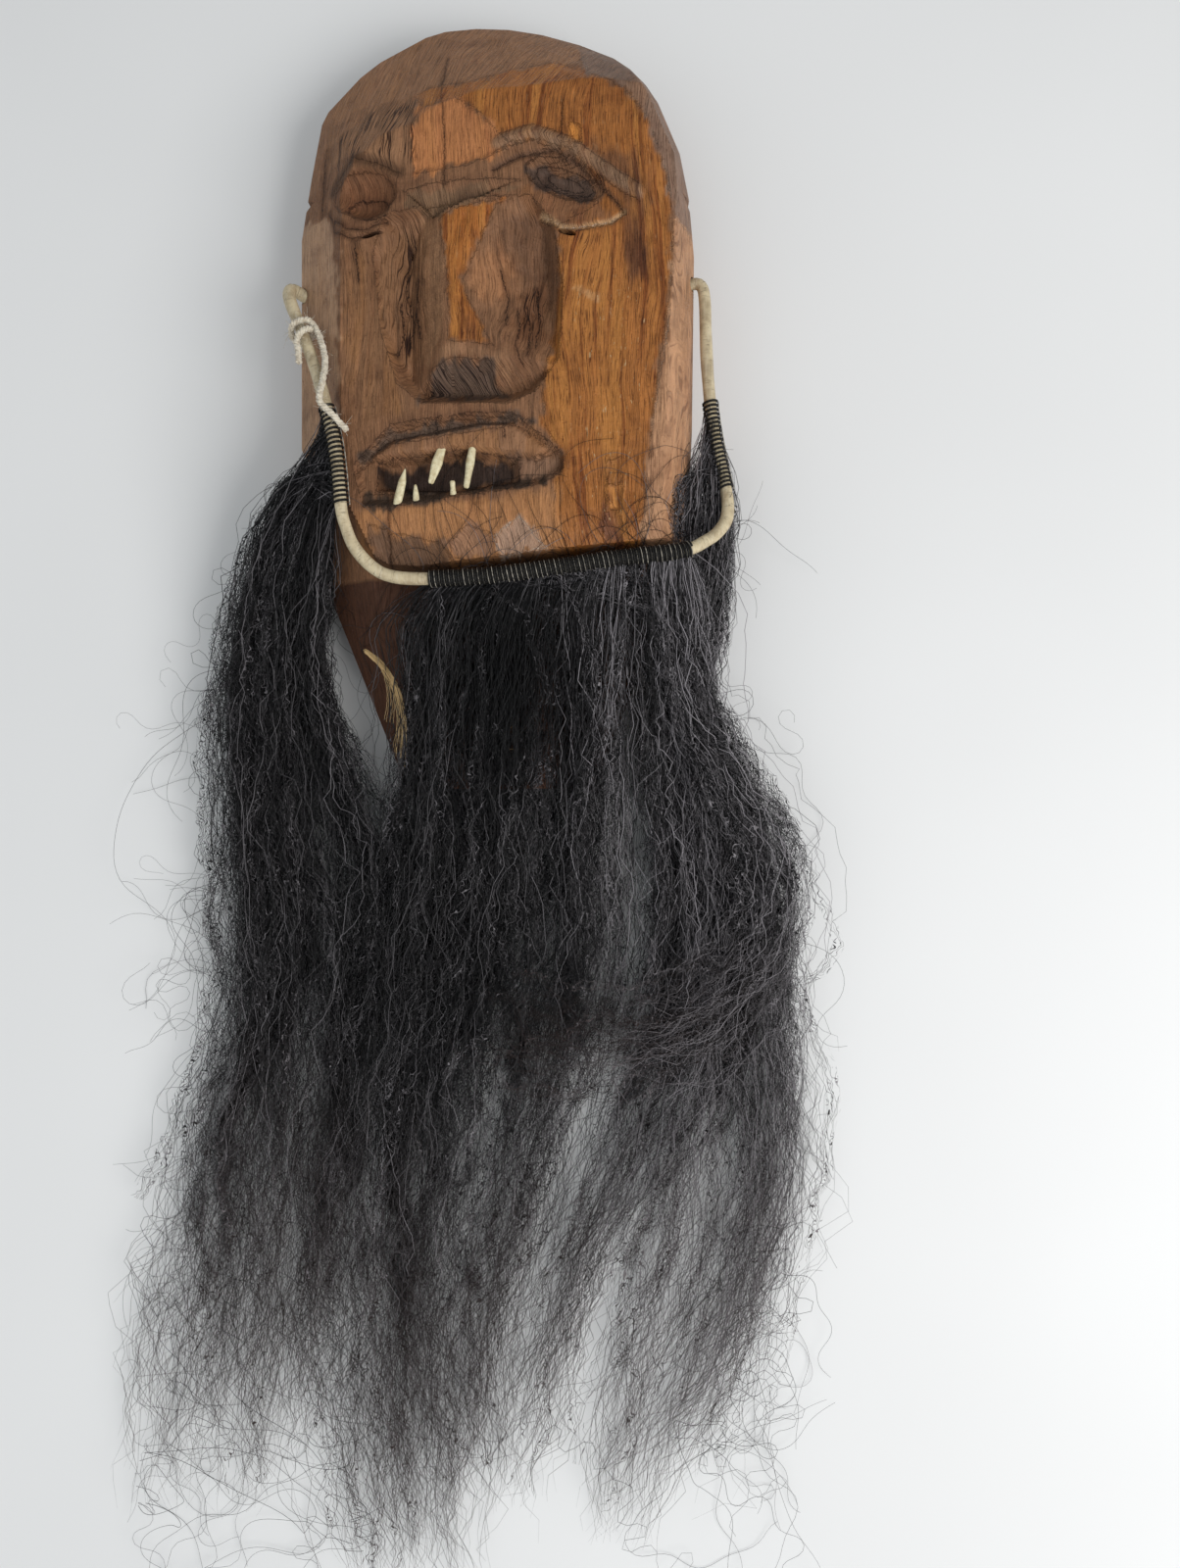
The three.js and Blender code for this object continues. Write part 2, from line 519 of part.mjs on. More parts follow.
place("mask", mask, "wood");

// The beard frame and what is wound on it.
place("beard_frame", barAlong(rodStretch, ROD_RADIUS, ROD_SIDES, ROD_STEPS), "cane");
let wound = null;
for (const [name, [from, to]] of Object.entries(LASHINGS)) {
  const steps = Math.ceil(((to - from) * rodLength) / LASHING_STEP);
  const stretch = new Stretch(from, to);
  const coil = barAlong(stretch, sleeveRadius, ROD_SIDES, steps, sleeveBore);
  place(`lashing_${name}`, coil, "black_thread");
  const around = new Stretch(from - GAP / rodLength, to + GAP / rodLength);
  const clear = barAlong(around, sleeveRadius + GAP, ROD_SIDES, steps);
  wound = wound ? wound.add(clear) : clear;
}
const stringPoints = STRING.map(([along, turns, space]) => {
  const centre = rodCurve.getPointAt(along);
  const forward = rodCurve.getTangentAt(along);
  const across = new THREE.Vector3(0, 0, 1).cross(forward).normalize();
  const up = forward.clone().cross(across);
  const distance = ROD_RADIUS + GAP + STRING_RADIUS + space;
  const angle = turns * 2 * Math.PI;
  centre.addScaledVector(across, distance * Math.cos(angle));
  return centre.addScaledVector(up, distance * Math.sin(angle));
});
const stringCurve = new THREE.CatmullRomCurve3(stringPoints, false, "centripetal");
place("tie_string", barAlong(stringCurve, STRING_RADIUS, STRING_SIDES, STRING_STEPS), "cotton_string");

// The hanks: their locks, joined, parted from each other and clear of the wood and the frame.
const plank = new THREE.BoxGeometry(2 * FAR, 2 * FAR, 2 * FACE_HEIGHT);
const wood = hewToOutline(solid(plank), -GAP).add(neckBody(-GAP, NECK_HEIGHT + GAP));
const rod = barAlong(rodCurve, ROD_RADIUS + GAP, ROD_SIDES, ROD_STEPS);
const partingBeside = (line, side) => line.map(([x, y]) => [x + (side * GAP) / 2, y]);
const territories = {
  left: [[-FAR, 100], [-FAR, -2 * FAR], ...partingBeside(PARTINGS.left, -1).reverse()],
  chin: [...partingBeside(PARTINGS.left, 1), ...partingBeside(PARTINGS.right, -1).reverse()],
  right: [...partingBeside(PARTINGS.right, 1), [FAR, -2 * FAR], [FAR, 100]],
};
for (const [name, locks] of Object.entries(LOCKS)) {
  let hank = locks.map(lock).reduce((all, one) => all.add(one));
  hank = hank.intersect(prism(territories[name], -FAR, FAR));
  hank = hank.subtract(wood).subtract(rod).subtract(wound);
  place(`beard_${name}`, hank, "black_hair");
}

const box = new THREE.Box3().setFromObject(pieces);
pieces.position.set(-(box.min.x + box.max.x) / 2, -(box.min.y + box.max.y) / 2, -box.min.z);
pieces.updateMatrixWorld(true);
export default pieces;
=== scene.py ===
# A hewn wooden folk mask lying on its back, with bone teeth and a long beard of black hair lashed
# to a bent cane rod. Sizes here are in millimetres over the mask's face: x to the viewer's right
# from the middle of the block, y up from the chin, z up from the table.
import math

import bpy
import numpy as np
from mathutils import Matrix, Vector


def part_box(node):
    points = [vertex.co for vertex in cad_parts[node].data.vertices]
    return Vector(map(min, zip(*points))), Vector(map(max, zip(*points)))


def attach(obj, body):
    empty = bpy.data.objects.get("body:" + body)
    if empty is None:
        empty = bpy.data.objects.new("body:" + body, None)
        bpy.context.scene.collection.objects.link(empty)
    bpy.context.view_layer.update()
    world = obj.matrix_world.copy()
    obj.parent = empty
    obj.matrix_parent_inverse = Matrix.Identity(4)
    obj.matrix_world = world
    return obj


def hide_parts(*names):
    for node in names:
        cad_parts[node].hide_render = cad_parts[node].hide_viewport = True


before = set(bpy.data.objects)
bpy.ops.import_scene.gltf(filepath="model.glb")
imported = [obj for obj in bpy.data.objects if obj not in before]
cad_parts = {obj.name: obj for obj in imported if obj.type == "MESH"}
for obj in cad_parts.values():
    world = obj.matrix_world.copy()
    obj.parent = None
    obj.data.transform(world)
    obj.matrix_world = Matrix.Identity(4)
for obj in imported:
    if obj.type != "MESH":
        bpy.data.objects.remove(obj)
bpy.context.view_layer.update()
bpy.ops.object.select_all(action="DESELECT")

# The table is a plain pale sheet of board, and no part of the mask. A soft light stands to the right
# of the beard and a weak one to its left, and the camera looks straight down from half a metre.
NECK_LENGTH = 91.0
OUTLINE = [
    (82, 12, 12), (84.3, 64, 9), (85.2, 140, 7), (83, 165, 6), (79, 185, 8), (67.7, 211.4, 10),
    (54.1, 225, 14), (27.6, 235.3, 26), (-2.2, 240, 36), (-27.3, 237.6, 38), (-55.9, 222.1, 32),
    (-75.9, 200.7, 22), (-81, 173.9, 18), (-85.3, 147, 20), (-85.3, 56, 7),
    (-67.5, 24, 4), (-55, 6, 3), (-46, 1, 3), (-32, 0, 3),
]
block_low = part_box("mask")[0]
ORIGIN = np.array([
    block_low.x - min(x for x, y, bevel in OUTLINE) / 1000, block_low.y + NECK_LENGTH / 1000, 0.0])
CAMERA_PLACE = (40.0, -89.0, 523.0)
SENSOR = 36.0
LENS = 26.03
TABLE_SIZE = 6.0


def placed(points):
    """Points in millimetres over the face, as metres in the frame."""
    return np.asarray(points, float) / 1000 + ORIGIN


camera = bpy.data.objects.new("camera", bpy.data.cameras.new("camera"))
camera.data.sensor_width = SENSOR
camera.data.lens = LENS
camera.location = placed(CAMERA_PLACE)
bpy.context.collection.objects.link(camera)
bpy.context.scene.camera = camera


def soft_light(name, place, aim, size, power, colour):
    """A square area light that faces its aim."""
    data = bpy.data.lights.new(name, "AREA")
    data.size = size
    data.energy = power
    data.color = colour
    light = bpy.data.objects.new(name, data)
    light.location = placed(place)
    away = light.location - type(light.location)(placed(aim))
    light.rotation_euler = away.to_track_quat("Z", "Y").to_euler()
    bpy.context.collection.objects.link(light)


soft_light("window", (1120, -620, 1220), (0, -60, 0), 1.0, 22.5, (1.0, 0.99, 0.98))
soft_light("fill", (-900, -500, 1300), (0, -60, 0), 1.6, 4.5, (0.93, 0.97, 1.0))
world = bpy.data.worlds.new("room")
bpy.context.scene.world = world
world.use_nodes = True
world.node_tree.nodes["Background"].inputs["Color"].default_value = (0.93, 0.97, 1.0, 1.0)
world.node_tree.nodes["Background"].inputs["Strength"].default_value = 0.46
bpy.context.scene.view_settings.view_transform = "Standard"


class Wire:
    """A socket of a material's nodes. Arithmetic on it adds Math nodes."""

    def __init__(self, tree, socket=None):
        self.tree = tree
        self.socket = socket

    def node(self, kind, inputs, out=0, **settings):
        """Adds a node: its settings first, then what goes into its sockets."""
        made = self.tree.nodes.new(kind)
        for name, value in settings.items():
            setattr(made, name, value)
        for name, value in inputs.items():
            if isinstance(value, Wire):
                self.tree.links.new(value.socket, made.inputs[name])
            else:
                made.inputs[name].default_value = value
        return Wire(self.tree, made.outputs[out])

    def math(self, operation, *values):
        return self.node("ShaderNodeMath", dict(enumerate(values)), operation=operation)

    def __add__(self, other):
        return self.math("ADD", self, other)

    __radd__ = __add__

    def __sub__(self, other):
        return self.math("SUBTRACT", self, other)

    def __rsub__(self, other):
        return self.math("SUBTRACT", other, self)

    def __mul__(self, other):
        return self.math("MULTIPLY", self, other)

    __rmul__ = __mul__

    def __truediv__(self, other):
        return self.math("DIVIDE", self, other)

    def mark(self, title, out="Fac"):
        """What is stored on the mesh's points under a title."""
        return self.node("ShaderNodeAttribute", {}, out=out, attribute_name=title)

    def part(self, axis):
        """One number of a vector."""
        return self.node("ShaderNodeSeparateXYZ", {0: self}, out="XYZ".index(axis))

    def vector(self, x, y, z):
        return self.node("ShaderNodeCombineXYZ", {0: x, 1: y, 2: z})

    def step(self, low, high):
        """0 below low, 1 above high and smooth between."""
        return self.node("ShaderNodeMapRange", {0: self, 1: low, 2: high},
                         interpolation_type="SMOOTHSTEP")

    def noise(self, scale, detail=3.0, roughness=0.5, distortion=0.0):
        return self.node("ShaderNodeTexNoise", {
            "Vector": self, "Scale": scale, "Detail": detail, "Roughness": roughness,
            "Distortion": distortion})

    def mix(self, under, over):
        """Two colours mixed by this factor."""
        return self.node("ShaderNodeMix", {0: self, 6: under, 7: over}, out=2, data_type="RGBA")

    def times(self, colour, over):
        """A colour multiplied by another, as far as this factor says."""
        return self.node("ShaderNodeMix", {0: self, 6: colour, 7: over}, out=2, data_type="RGBA",
                         blend_type="MULTIPLY")


def new_finish(name, **constants):
    """A material, with constant values set on the shader's own sockets."""
    made = bpy.data.materials.new(name)
    made.use_nodes = True
    shader = made.node_tree.nodes["Principled BSDF"]
    for socket, value in constants.items():
        shader.inputs[socket.replace("_", " ")].default_value = value
    return made, shader, Wire(made.node_tree)


def connect(shader, wire, socket):
    wire.tree.links.new(wire.socket, shader.inputs[socket])


def roughen(shader, height, strength, distance):
    """A bump that follows a height, with its distance in metres."""
    connect(shader, height.node("ShaderNodeBump", {
        "Strength": strength, "Distance": distance, "Height": height}), "Normal")


def object_mm(wire):
    """The object's own coordinates in millimetres over the face."""
    place = wire.node("ShaderNodeTexCoord", {}, out=3)
    moved = wire.node("ShaderNodeVectorMath", {0: place, 1: tuple(ORIGIN)}, operation="SUBTRACT")
    return wire.node("ShaderNodeVectorMath", {0: moved, 3: 1000.0}, operation="SCALE")


board, board_shader, wire = new_finish("pale_board", Roughness=0.55)
board_place = object_mm(wire)
cloudy = board_place.noise(0.004, 2.0)
connect(board_shader, cloudy.step(0.3, 0.7).mix((0.745, 0.745, 0.74, 1), (0.77, 0.77, 0.765, 1)),
        "Base Color")
bpy.ops.mesh.primitive_plane_add(size=TABLE_SIZE, location=(0, 0, 0))
table = bpy.context.object
table.name = "table"
table.data.materials.append(board)
bpy.ops.object.select_all(action="DESELECT")

# The mask is one flat plank of softwood, hewn to a domed outline with bevelled edges, its face cut
# in low relief with a knife and its back hollowed. The planed front is left bare on the forehead,
# the nose and the right cheek, and has gone orange brown.
GRID_STEP = 0.9
NECK_STEP = 1.8
FACE_HEIGHT = 55.0
SIDE_HEIGHT = 30.0
HALF_WIDTH = 85.0
FACE_CURVE = 4.0
CHIN_DROP = 8.0
CHIN_LENGTH = 28.0
BEVEL_RISE = FACE_HEIGHT - FACE_CURVE - SIDE_HEIGHT
WALL = 15.0
ROOF = 17.0
NECK_START = 34.0
NECK_HALF_WIDTH = 85.0
NECK_TAPER = 0.4
NECK_HALF_END = NECK_HALF_WIDTH - NECK_TAPER * (NECK_LENGTH + NECK_START / 2)
NECK_HEIGHT = 34.0
NECK_EDGE_HEIGHT = 16.0
NECK_BEVEL = 22.0
NECK_WALL = 14.0
NECK_ROOF = 14.0
# Above this height the outline's blunt corners are shaved off by this much.
CROWN_START = 195.0
SHAVING = 0.9
# The two notches in the sides, and the slits cut through under the eyes.
NOTCH = (79, 162)
NOTCH_SLOPE = (0.5, 0.87)
SLIT_HALF_LENGTH = 3.9
SLIT_HALF_HEIGHT = 1.15
# The deep pit in the left socket: its middle and its half sizes.
PIT = (-52.2, 150.5, 8.8, 5.4)
# Past the outline, where it is cut off, the relief falls no more than this under the sides' height.
OUTSIDE_DROP = 6.0
HOLLOW = [(-50, 132), (-46, 148), (15, 155), (25, 143), (29, 116), (27, 87), (17, 73), (6, 68.5),
          (-30, 68.5), (-40, 77), (-47, 100)]
ROOT_CUT = [(-37, 157), (-14, 161), (11, 161), (-24.5, 146)]
EYES = [
    dict(x=-54, y=157, half_length=14, half_height=10, depth=6.5, turn=0.05, slit=(-51, 138.5, 0.3)),
    dict(x=29.5, y=162, half_length=17, half_height=8, depth=6, turn=-0.32, slit=(30.5, 139, -0.2)),
]
BROW = [(2, 176), (16, 180.5), (33, 175), (50, 163), (60, 157)]
MOUTH = [(-58.5, 43), (-42.5, 60), (-8.5, 64.5), (8, 64.5), (29, 48), (29, 41), (20, 35),
         (-40, 26.5), (-54.5, 26.5)]
UPPER_LIP = [(-54.5, 45), (-42, 54), (-5, 61), (8, 61.5), (24, 50), (18, 45), (10, 47),
             (-14, 49.5), (-48, 45)]
OPENING = [(-48, 45), (-14, 49.5), (10, 46.5), (11, 36.5), (-16, 32), (-49, 33)]
# The rod's middle line, with its height over the table. Its ends lie inside the block.
ROD = [
    (-75, 118, 27), (-83, 122, 30.5), (-88.4, 124.2, 33.5), (-88.6, 119, 38), (-83.8, 107, 42.5),
    (-77, 91, 49.5), (-70.5, 73, 55.5), (-65.4, 53, 57.5), (-63.6, 40, 57.5), (-62.4, 25, 56.8),
    (-60.9, 17.5, 55.2), (-57.5, 9.1, 54.3), (-51, 1.6, 53.5), (-43, -2.7, 53), (-29, -3.9, 53),
    (-1.5, -2.6, 53), (25, 0.8, 53), (55.5, 5.2, 52.5), (79, 8.2, 51), (88.4, 13, 46.5),
    (94, 17.5, 43), (98.2, 24, 40.5), (98.7, 33, 38.5), (96.8, 44.3, 36.5), (94.4, 56.4, 35.5),
    (92.3, 69.6, 35), (90.6, 88, 35), (89.9, 105.4, 34), (89.6, 119.5, 33), (88.3, 126, 32.5),
    (84.5, 127.6, 31.5), (75, 125, 29),
]
ROD_HOLE = 3.1
ROD_HOLE_STEPS = 260
ROD_HOLE_SIDES = 12
# Patches of the front that are cut or coloured differently, by their corners.
PATCHES = {
    "orange": [(-33.2, 200.1), (-27.1, 203.5), (-10.9, 203.5), (8.1, 210.9), (25.7, 214.6),
               (39.2, 207.5), (54.1, 200.1), (63.6, 188.6), (69, 173.7), (72.4, 160.1),
               (74.4, 146.6), (74.4, 124.9), (71.7, 106), (67.7, 78.9), (64.9, 51.8), (60.9, 8.5),
               (24.3, 9.8), (25.7, 34.2), (28.4, 47.8), (21.6, 59.9), (20.3, 78.9), (25.7, 99.2),
               (26.4, 119.5), (25.7, 141.2), (43.3, 152), (44.6, 160.1), (32.5, 173.7),
               (16.2, 177.7), (5.4, 175.7), (-5.5, 188.6), (-16.3, 195.3), (-29.8, 192.4)],
    "nose_front": [(-22.4, 143.9), (-16.3, 148), (1.3, 152), (8.1, 153.6), (1.3, 150.7),
                   (-4.8, 137.1), (-9.8, 124.9), (-12.2, 119.5), (-10.6, 111.4), (-5.5, 101.2),
                   (0, 91.8), (-19, 93.8), (-18.3, 106), (-19, 122.2)],
    "nose_foot": [(-16.3, 108.7), (-5.5, 100.6), (0, 91.8), (-10.9, 92.4), (-16.3, 99.2)],
    "pink": [(-30.5, 192.4), (-16.3, 195.3), (-5.5, 188.6), (2.7, 179.1), (6.7, 175), (0, 171),
             (-10.9, 166.9), (-32.5, 163.5), (-34.6, 180.4)],
    "root_cut": [(-37.3, 152), (-28.5, 157.4), (-10.9, 159.1), (10.8, 157.4), (0, 153.6),
                 (-25.8, 145.2)],
    "left_flank": [(-33.2, 148), (-23.1, 144.6), (-20.4, 133.1), (-19, 119.5), (-18.6, 106),
                   (-20.4, 95.8), (-27.1, 85.7), (-29.2, 92.4), (-28.5, 119.5), (-29.8, 135.8)],
    "right_flank": [(0, 146.6), (8.1, 153.6), (18.9, 148), (25, 138.5), (26.4, 119.5),
                    (24.3, 99.2), (16.2, 92.4), (6.7, 92.4), (0, 97.9), (-6.8, 107.3),
                    (-10.9, 115.5), (-11.6, 120.9), (-8.2, 127.6)],
    "flank_light": [(-9.5, 127.6), (0, 134.4), (8.1, 130.4), (8.1, 115.5), (0, 108.7),
                    (-6.8, 111.4), (-10.9, 118.2)],
    "flank_dark": [(6.7, 148), (20.3, 145.2), (25.7, 133.1), (25.7, 116.8), (17.6, 106),
                   (13.5, 119.5), (6.7, 133.1)],
    "valley_right": [(10.8, 115.5), (20.3, 119.5), (21.6, 97.9), (13.5, 94.5), (8.1, 101.9)],
    "under_dark": [(-25.1, 83), (-16.3, 87), (-1.4, 85.7), (0, 78.9), (5.4, 72.8), (-10.9, 70.8),
                   (-29.8, 70.1), (-27.8, 77.5)],
    "under_light": [(-27.1, 85.7), (-19, 93.8), (0, 91.8), (8.1, 78.9), (5.4, 77.5), (0, 84.3),
                    (-16.3, 87), (-25.1, 83)],
    "valley_left": [(-40, 141.2), (-32.5, 146.6), (-29.2, 134.4), (-28.5, 112.8), (-28.5, 92.4),
                    (-32.5, 84.3), (-39.3, 87), (-42, 106), (-42, 124.9)],
    "cheek_left": [(-61, 133.1), (-42, 134.4), (-43.4, 85.7), (-35.2, 65.4), (-56.9, 59.9),
                   (-61, 92.4)],
    "temple_left": [(-69.1, 183.2), (-52.9, 195.3), (-32.5, 198.1), (-32.5, 171), (-38, 164.2),
                    (-55.6, 173.7), (-70.5, 164.2)],
    "lip_groove": [(-43.4, 57), (-16.3, 62), (10.8, 63.3), (16.2, 60.6), (10.8, 59.9),
                   (-28.5, 53.9), (-42, 51.8), (-51.5, 45.7), (-56.2, 40.3), (-54.2, 46.4)],
    "upper_lip": [(-49.5, 47.1), (-28.5, 53.9), (10.8, 59.9), (18.9, 56.6), (27.7, 48.4),
                  (16.2, 45.7), (0, 45.7), (-13.6, 48.4), (-27.1, 45.7), (-42, 43)],
    "opening": [(-48.1, 43), (-27.1, 45.7), (-13.6, 48.4), (0, 45.1), (16.2, 45.7), (17.6, 39),
                (0, 36.2), (-19, 32.9), (-35.2, 31.5), (-47.4, 35.6)],
    "flap": [(6.7, 45.1), (27.7, 48.4), (28.4, 43), (21.6, 36.2), (8.1, 35.6)],
    "ledge": [(-54.2, 31.5), (-19, 32.2), (18.9, 38.3), (21.6, 34.9), (-19, 29.1), (-40.7, 26.1),
              (-54.2, 26.1)],
    "chin": [(-56.9, 24.7), (-39.3, 25.4), (25.7, 34.2), (28.4, 11.2), (21.6, 8.5), (0, 4.4),
             (-21.7, -1), (-42, -1), (-55.6, 5.8)],
    "chip_one": [(0, 13.9), (10.8, 22), (16.2, 15.3), (21.6, 9.6), (2.7, 5.8)],
    "chip_two": [(-18.3, 11.2), (-10.9, 18.6), (0, 14.6), (1.3, 7.1), (-10.9, 4.4), (-17.6, 5.8)],
    "chin_dark": [(-52.9, 19.3), (-42, 15.3), (-21.7, 11.2), (-17.6, 4.4), (-23.1, -1), (-42, -1),
                  (-50.1, 4.4)],
    "bevel_right": [(74.4, 146.6), (90, 146.6), (90, 99.2), (90, -5), (60.6, -5), (64.9, 51.8),
                    (69, 78.9), (73.1, 106)],
    "bevel_upper": [(35.2, 230), (54.1, 230), (69, 215), (90, 180), (90, 146.6), (74.4, 146.6),
                    (72.4, 162.8), (63.6, 188.6), (54.1, 200.1), (39.2, 207.5)],
    "bevel_crown": [(-90, 152), (-90, 200), (-54.2, 235), (-21.7, 250), (0, 250), (35.2, 245),
                    (35.2, 214), (25.7, 214.6), (8.1, 210.9), (-10.9, 203.5), (-27.1, 203.5),
                    (-52.9, 195.3), (-69.1, 183.2)],
    "bevel_left": [(-90, 152), (-69.8, 152), (-66.4, 133.1), (-65, 65.4), (-78.6, 51.8),
                   (-90, 50)],
    "lid_right": [(16.2, 159.5), (29.7, 153.6), (43.3, 153.4), (48.7, 143.9), (29.7, 139.8),
                  (20.3, 146.6), (8.1, 154)],
    "eye_right": [(13.5, 165.3), (21.6, 168.3), (32.5, 165.3), (44, 157.4), (39.9, 153.4),
                  (29.7, 154), (17.6, 159.5)],
    "red_temple": [(52.8, 148), (63.6, 149.3), (64.3, 124.9), (56.8, 119.5), (52.8, 133.1)],
    "red_slot": [(46.7, 45.1), (52.8, 46.4), (53.4, 11.2), (45.3, 9.8)],
    "dark_temple": [(39.2, 176.4), (62.2, 171), (66.3, 152), (56.8, 146.6), (48.7, 157.4)],
    "bright_chip": [(31.5, 184.8), (36.2, 183.8), (36.5, 175.7), (32.2, 175.3)],
    "bright_slot": [(47.3, 35.6), (53.4, 34.9), (53.4, 24.7), (48, 24.7)],
    "scar": [(31.1, 117.5), (43.3, 112.8), (43.3, 111.1), (30.6, 116)],
}
# Knife cuts, lids and long cracks, by the points they pass through.
LINES = {
    "brow_left": [(-68, 160), (-66.4, 164.2), (-58.3, 171.6), (-46.1, 168.3), (-39.3, 164.9)],
    "lid_left": [(-69.8, 152), (-66.4, 141.2), (-58.3, 136.9), (-47.4, 140.5)],
    "lid_left_low": [(-66.4, 146.6), (-61, 141.9), (-52.9, 141.2), (-44.7, 145.2)],
    "brow_low": [(0, 164.9), (10.8, 171), (25.7, 173.7), (35.2, 168.3), (44, 160.1),
                 (51.4, 152), (54.1, 148)],
    "lid_right": [(20.3, 146.6), (28.4, 141.2), (35.2, 141.2), (48.7, 143.9), (54.1, 148)],
    "crack_mid": [(-20.4, 219.7), (-22, 200.8), (-20.4, 180.4), (-20.4, 158.8)],
    "crack_two": [(28.4, 194), (27.7, 169.6)],
    "crack_chin": [(-43.4, 26.1), (-43.6, 3.1)],
    "crack_left": [(-73.8, 80.3), (-74.2, 53.2)],
}
# The short splits in the carved hollows and along the left bevel.
CRACKS = [
    [(10, 108), (11, 100), (9, 92), (12, 84)], [(14, 110), (15, 98), (14, 88)],
    [(18, 118), (19, 104), (17, 92)], [(-36, 128), (-37, 116), (-34, 104), (-36, 94)],
    [(-32, 122), (-33, 110), (-31, 98)], [(-39, 112), (-38, 100), (-40, 90)],
    [(-73, 183), (-74, 168), (-74, 152)], [(-57.6, 135.8), (-56, 119.5)],
    [(3, 124), (6, 112), (5, 101)], [(-24, 62), (-23.5, 54)], [(4, 62), (4.5, 55)],
]


FAR = 1e9


def away_from(start, end, x, y):
    """How far points are from a straight stretch."""
    dx, dy = end[0] - start[0], end[1] - start[1]
    right, up = x - start[0], y - start[1]
    along = np.clip((right * dx + up * dy) / (dx * dx + dy * dy), 0, 1)
    return np.hypot(right - along * dx, up - along * dy)


def depth_inside(corners, x, y):
    """How far points are inside a polygon, or minus how far outside."""
    nearest = np.full(x.shape, FAR)
    inside = np.zeros(x.shape, bool)
    for (ax, ay), (bx, by) in zip(corners, corners[1:] + corners[:1]):
        nearest = np.minimum(nearest, away_from((ax, ay), (bx, by), x, y))
        if by != ay:
            inside ^= ((ay > y) != (by > y)) & (x < ax + (y - ay) / (by - ay) * (bx - ax))
    return np.where(inside, nearest, -nearest)


def near_line(points, half_width, x, y):
    """1 on a line through points, falling to 0 at its half width."""
    nearest = np.full(x.shape, half_width, float)
    for start, end in zip(points, points[1:]):
        nearest = np.minimum(nearest, away_from(start, end, x, y))
    return 1 - nearest / half_width


def ripple(x, y, seed):
    """Smooth noise between -1 and 1, one lump to each unit of x and y."""
    table = np.random.default_rng(seed).uniform(-1, 1, (128, 128))
    column, row = np.floor(x).astype(int), np.floor(y).astype(int)
    u, v = x - column, y - row
    u, v = u * u * (3 - 2 * u), v * v * (3 - 2 * v)
    left, right, low, high = column % 128, (column + 1) % 128, row % 128, (row + 1) % 128
    under = table[low, left] * (1 - u) + table[low, right] * u
    over = table[high, left] * (1 - u) + table[high, right] * u
    return under * (1 - v) + over * v


def nose_height(x, y):
    """The nose as the lowest of its front, its flanks and its underside."""
    front = FACE_HEIGHT + 1.5
    bow = np.where(y > 122, 0.013, 0.021)
    right_edge = -12 + bow * (y - 122) ** 2
    left = front - 0.8 * (-20.5 - x)
    right = front - 0.3 * (x - right_edge)
    under = front - 0.85 * (86 - y)
    return np.minimum(np.minimum(front, left), np.minimum(right, under))


def hollow_depth(x, y):
    """The cut round the nose: steep at its rim, gentler at the left and the top."""
    rim = 1.5 * depth_inside(HOLLOW, x, y)
    slope = np.minimum(0.62 * (x - HOLLOW[0][0]), 0.5 * (HOLLOW[2][1] - y))
    return np.clip(np.minimum(rim, slope), 0, 10.5)


def eye_reach(eye, x, y):
    """0 in the middle of an eye and 1 on its rim."""
    along = (x - eye["x"]) * math.cos(eye["turn"]) + (y - eye["y"]) * math.sin(eye["turn"])
    across = (y - eye["y"]) * math.cos(eye["turn"]) - (x - eye["x"]) * math.sin(eye["turn"])
    return (along / eye["half_length"]) ** 2 + (across / eye["half_height"]) ** 2


def carved_height(x, y):
    """The carved front before its bevels and its grain."""
    z = FACE_HEIGHT - FACE_CURVE * (x / HALF_WIDTH) ** 2 - 0.05 * np.maximum(0, y - 185)
    z = z - CHIN_DROP * np.maximum(0, 1 - y / CHIN_LENGTH) ** 2
    for eye in EYES:
        reach = eye_reach(eye, x, y)
        z = z - 2 * np.maximum(0, 1 - reach / 3.2)
        z = z - (eye["depth"] - 2) * np.maximum(0, 1 - reach) ** 0.6
    z = z + 1.8 * near_line(BROW, 3.5, x, y)
    root = depth_inside(ROOT_CUT, x, y) > 0
    z = np.where(root, np.minimum(z, FACE_HEIGHT - 0.36 * (161 - y)), z)
    depth = hollow_depth(x, y)
    z = np.where(depth > 0, np.maximum(z - depth, np.minimum(nose_height(x, y), z + 1.5)), z)
    z = z - np.minimum(3.5, 1.2 * np.maximum(0, depth_inside(MOUTH, x, y)))
    z = z + np.minimum(3.0, 1.5 * np.maximum(0, depth_inside(UPPER_LIP, x, y)))
    return z - np.minimum(4.5, 2.5 * np.maximum(0, depth_inside(OPENING, x, y)))


def outline_sides():
    """The outline's sides, and a narrow one shaved off each blunt corner of the crown."""
    sides = []
    for (ax, ay, bevel), (bx, by, after) in zip(OUTLINE, OUTLINE[1:] + OUTLINE[:1]):
        length = math.hypot(bx - ax, by - ay)
        sides.append((ax, ay, -(by - ay) / length, (bx - ax) / length, bevel))
    shaved = []
    for before, (ax, ay, nx, ny, bevel) in zip(sides[-1:] + sides[:-1], sides):
        if ay > CROWN_START:
            size = math.hypot(nx + before[2], ny + before[3])
            mx, my = (nx + before[2]) / size, (ny + before[3]) / size
            shaved.append((ax + mx * SHAVING, ay + my * SHAVING, mx, my, (bevel + before[4]) / 2))
    return sides + shaved


def bevel_height(x, y):
    """The lowest of the bevel planes round the outline."""
    lowest = np.full(x.shape, FAR)
    for ax, ay, nx, ny, bevel in outline_sides():
        inward = nx * (x - ax) + ny * (y - ay)
        lowest = np.minimum(lowest, SIDE_HEIGHT + inward * BEVEL_RISE / bevel)
    return lowest


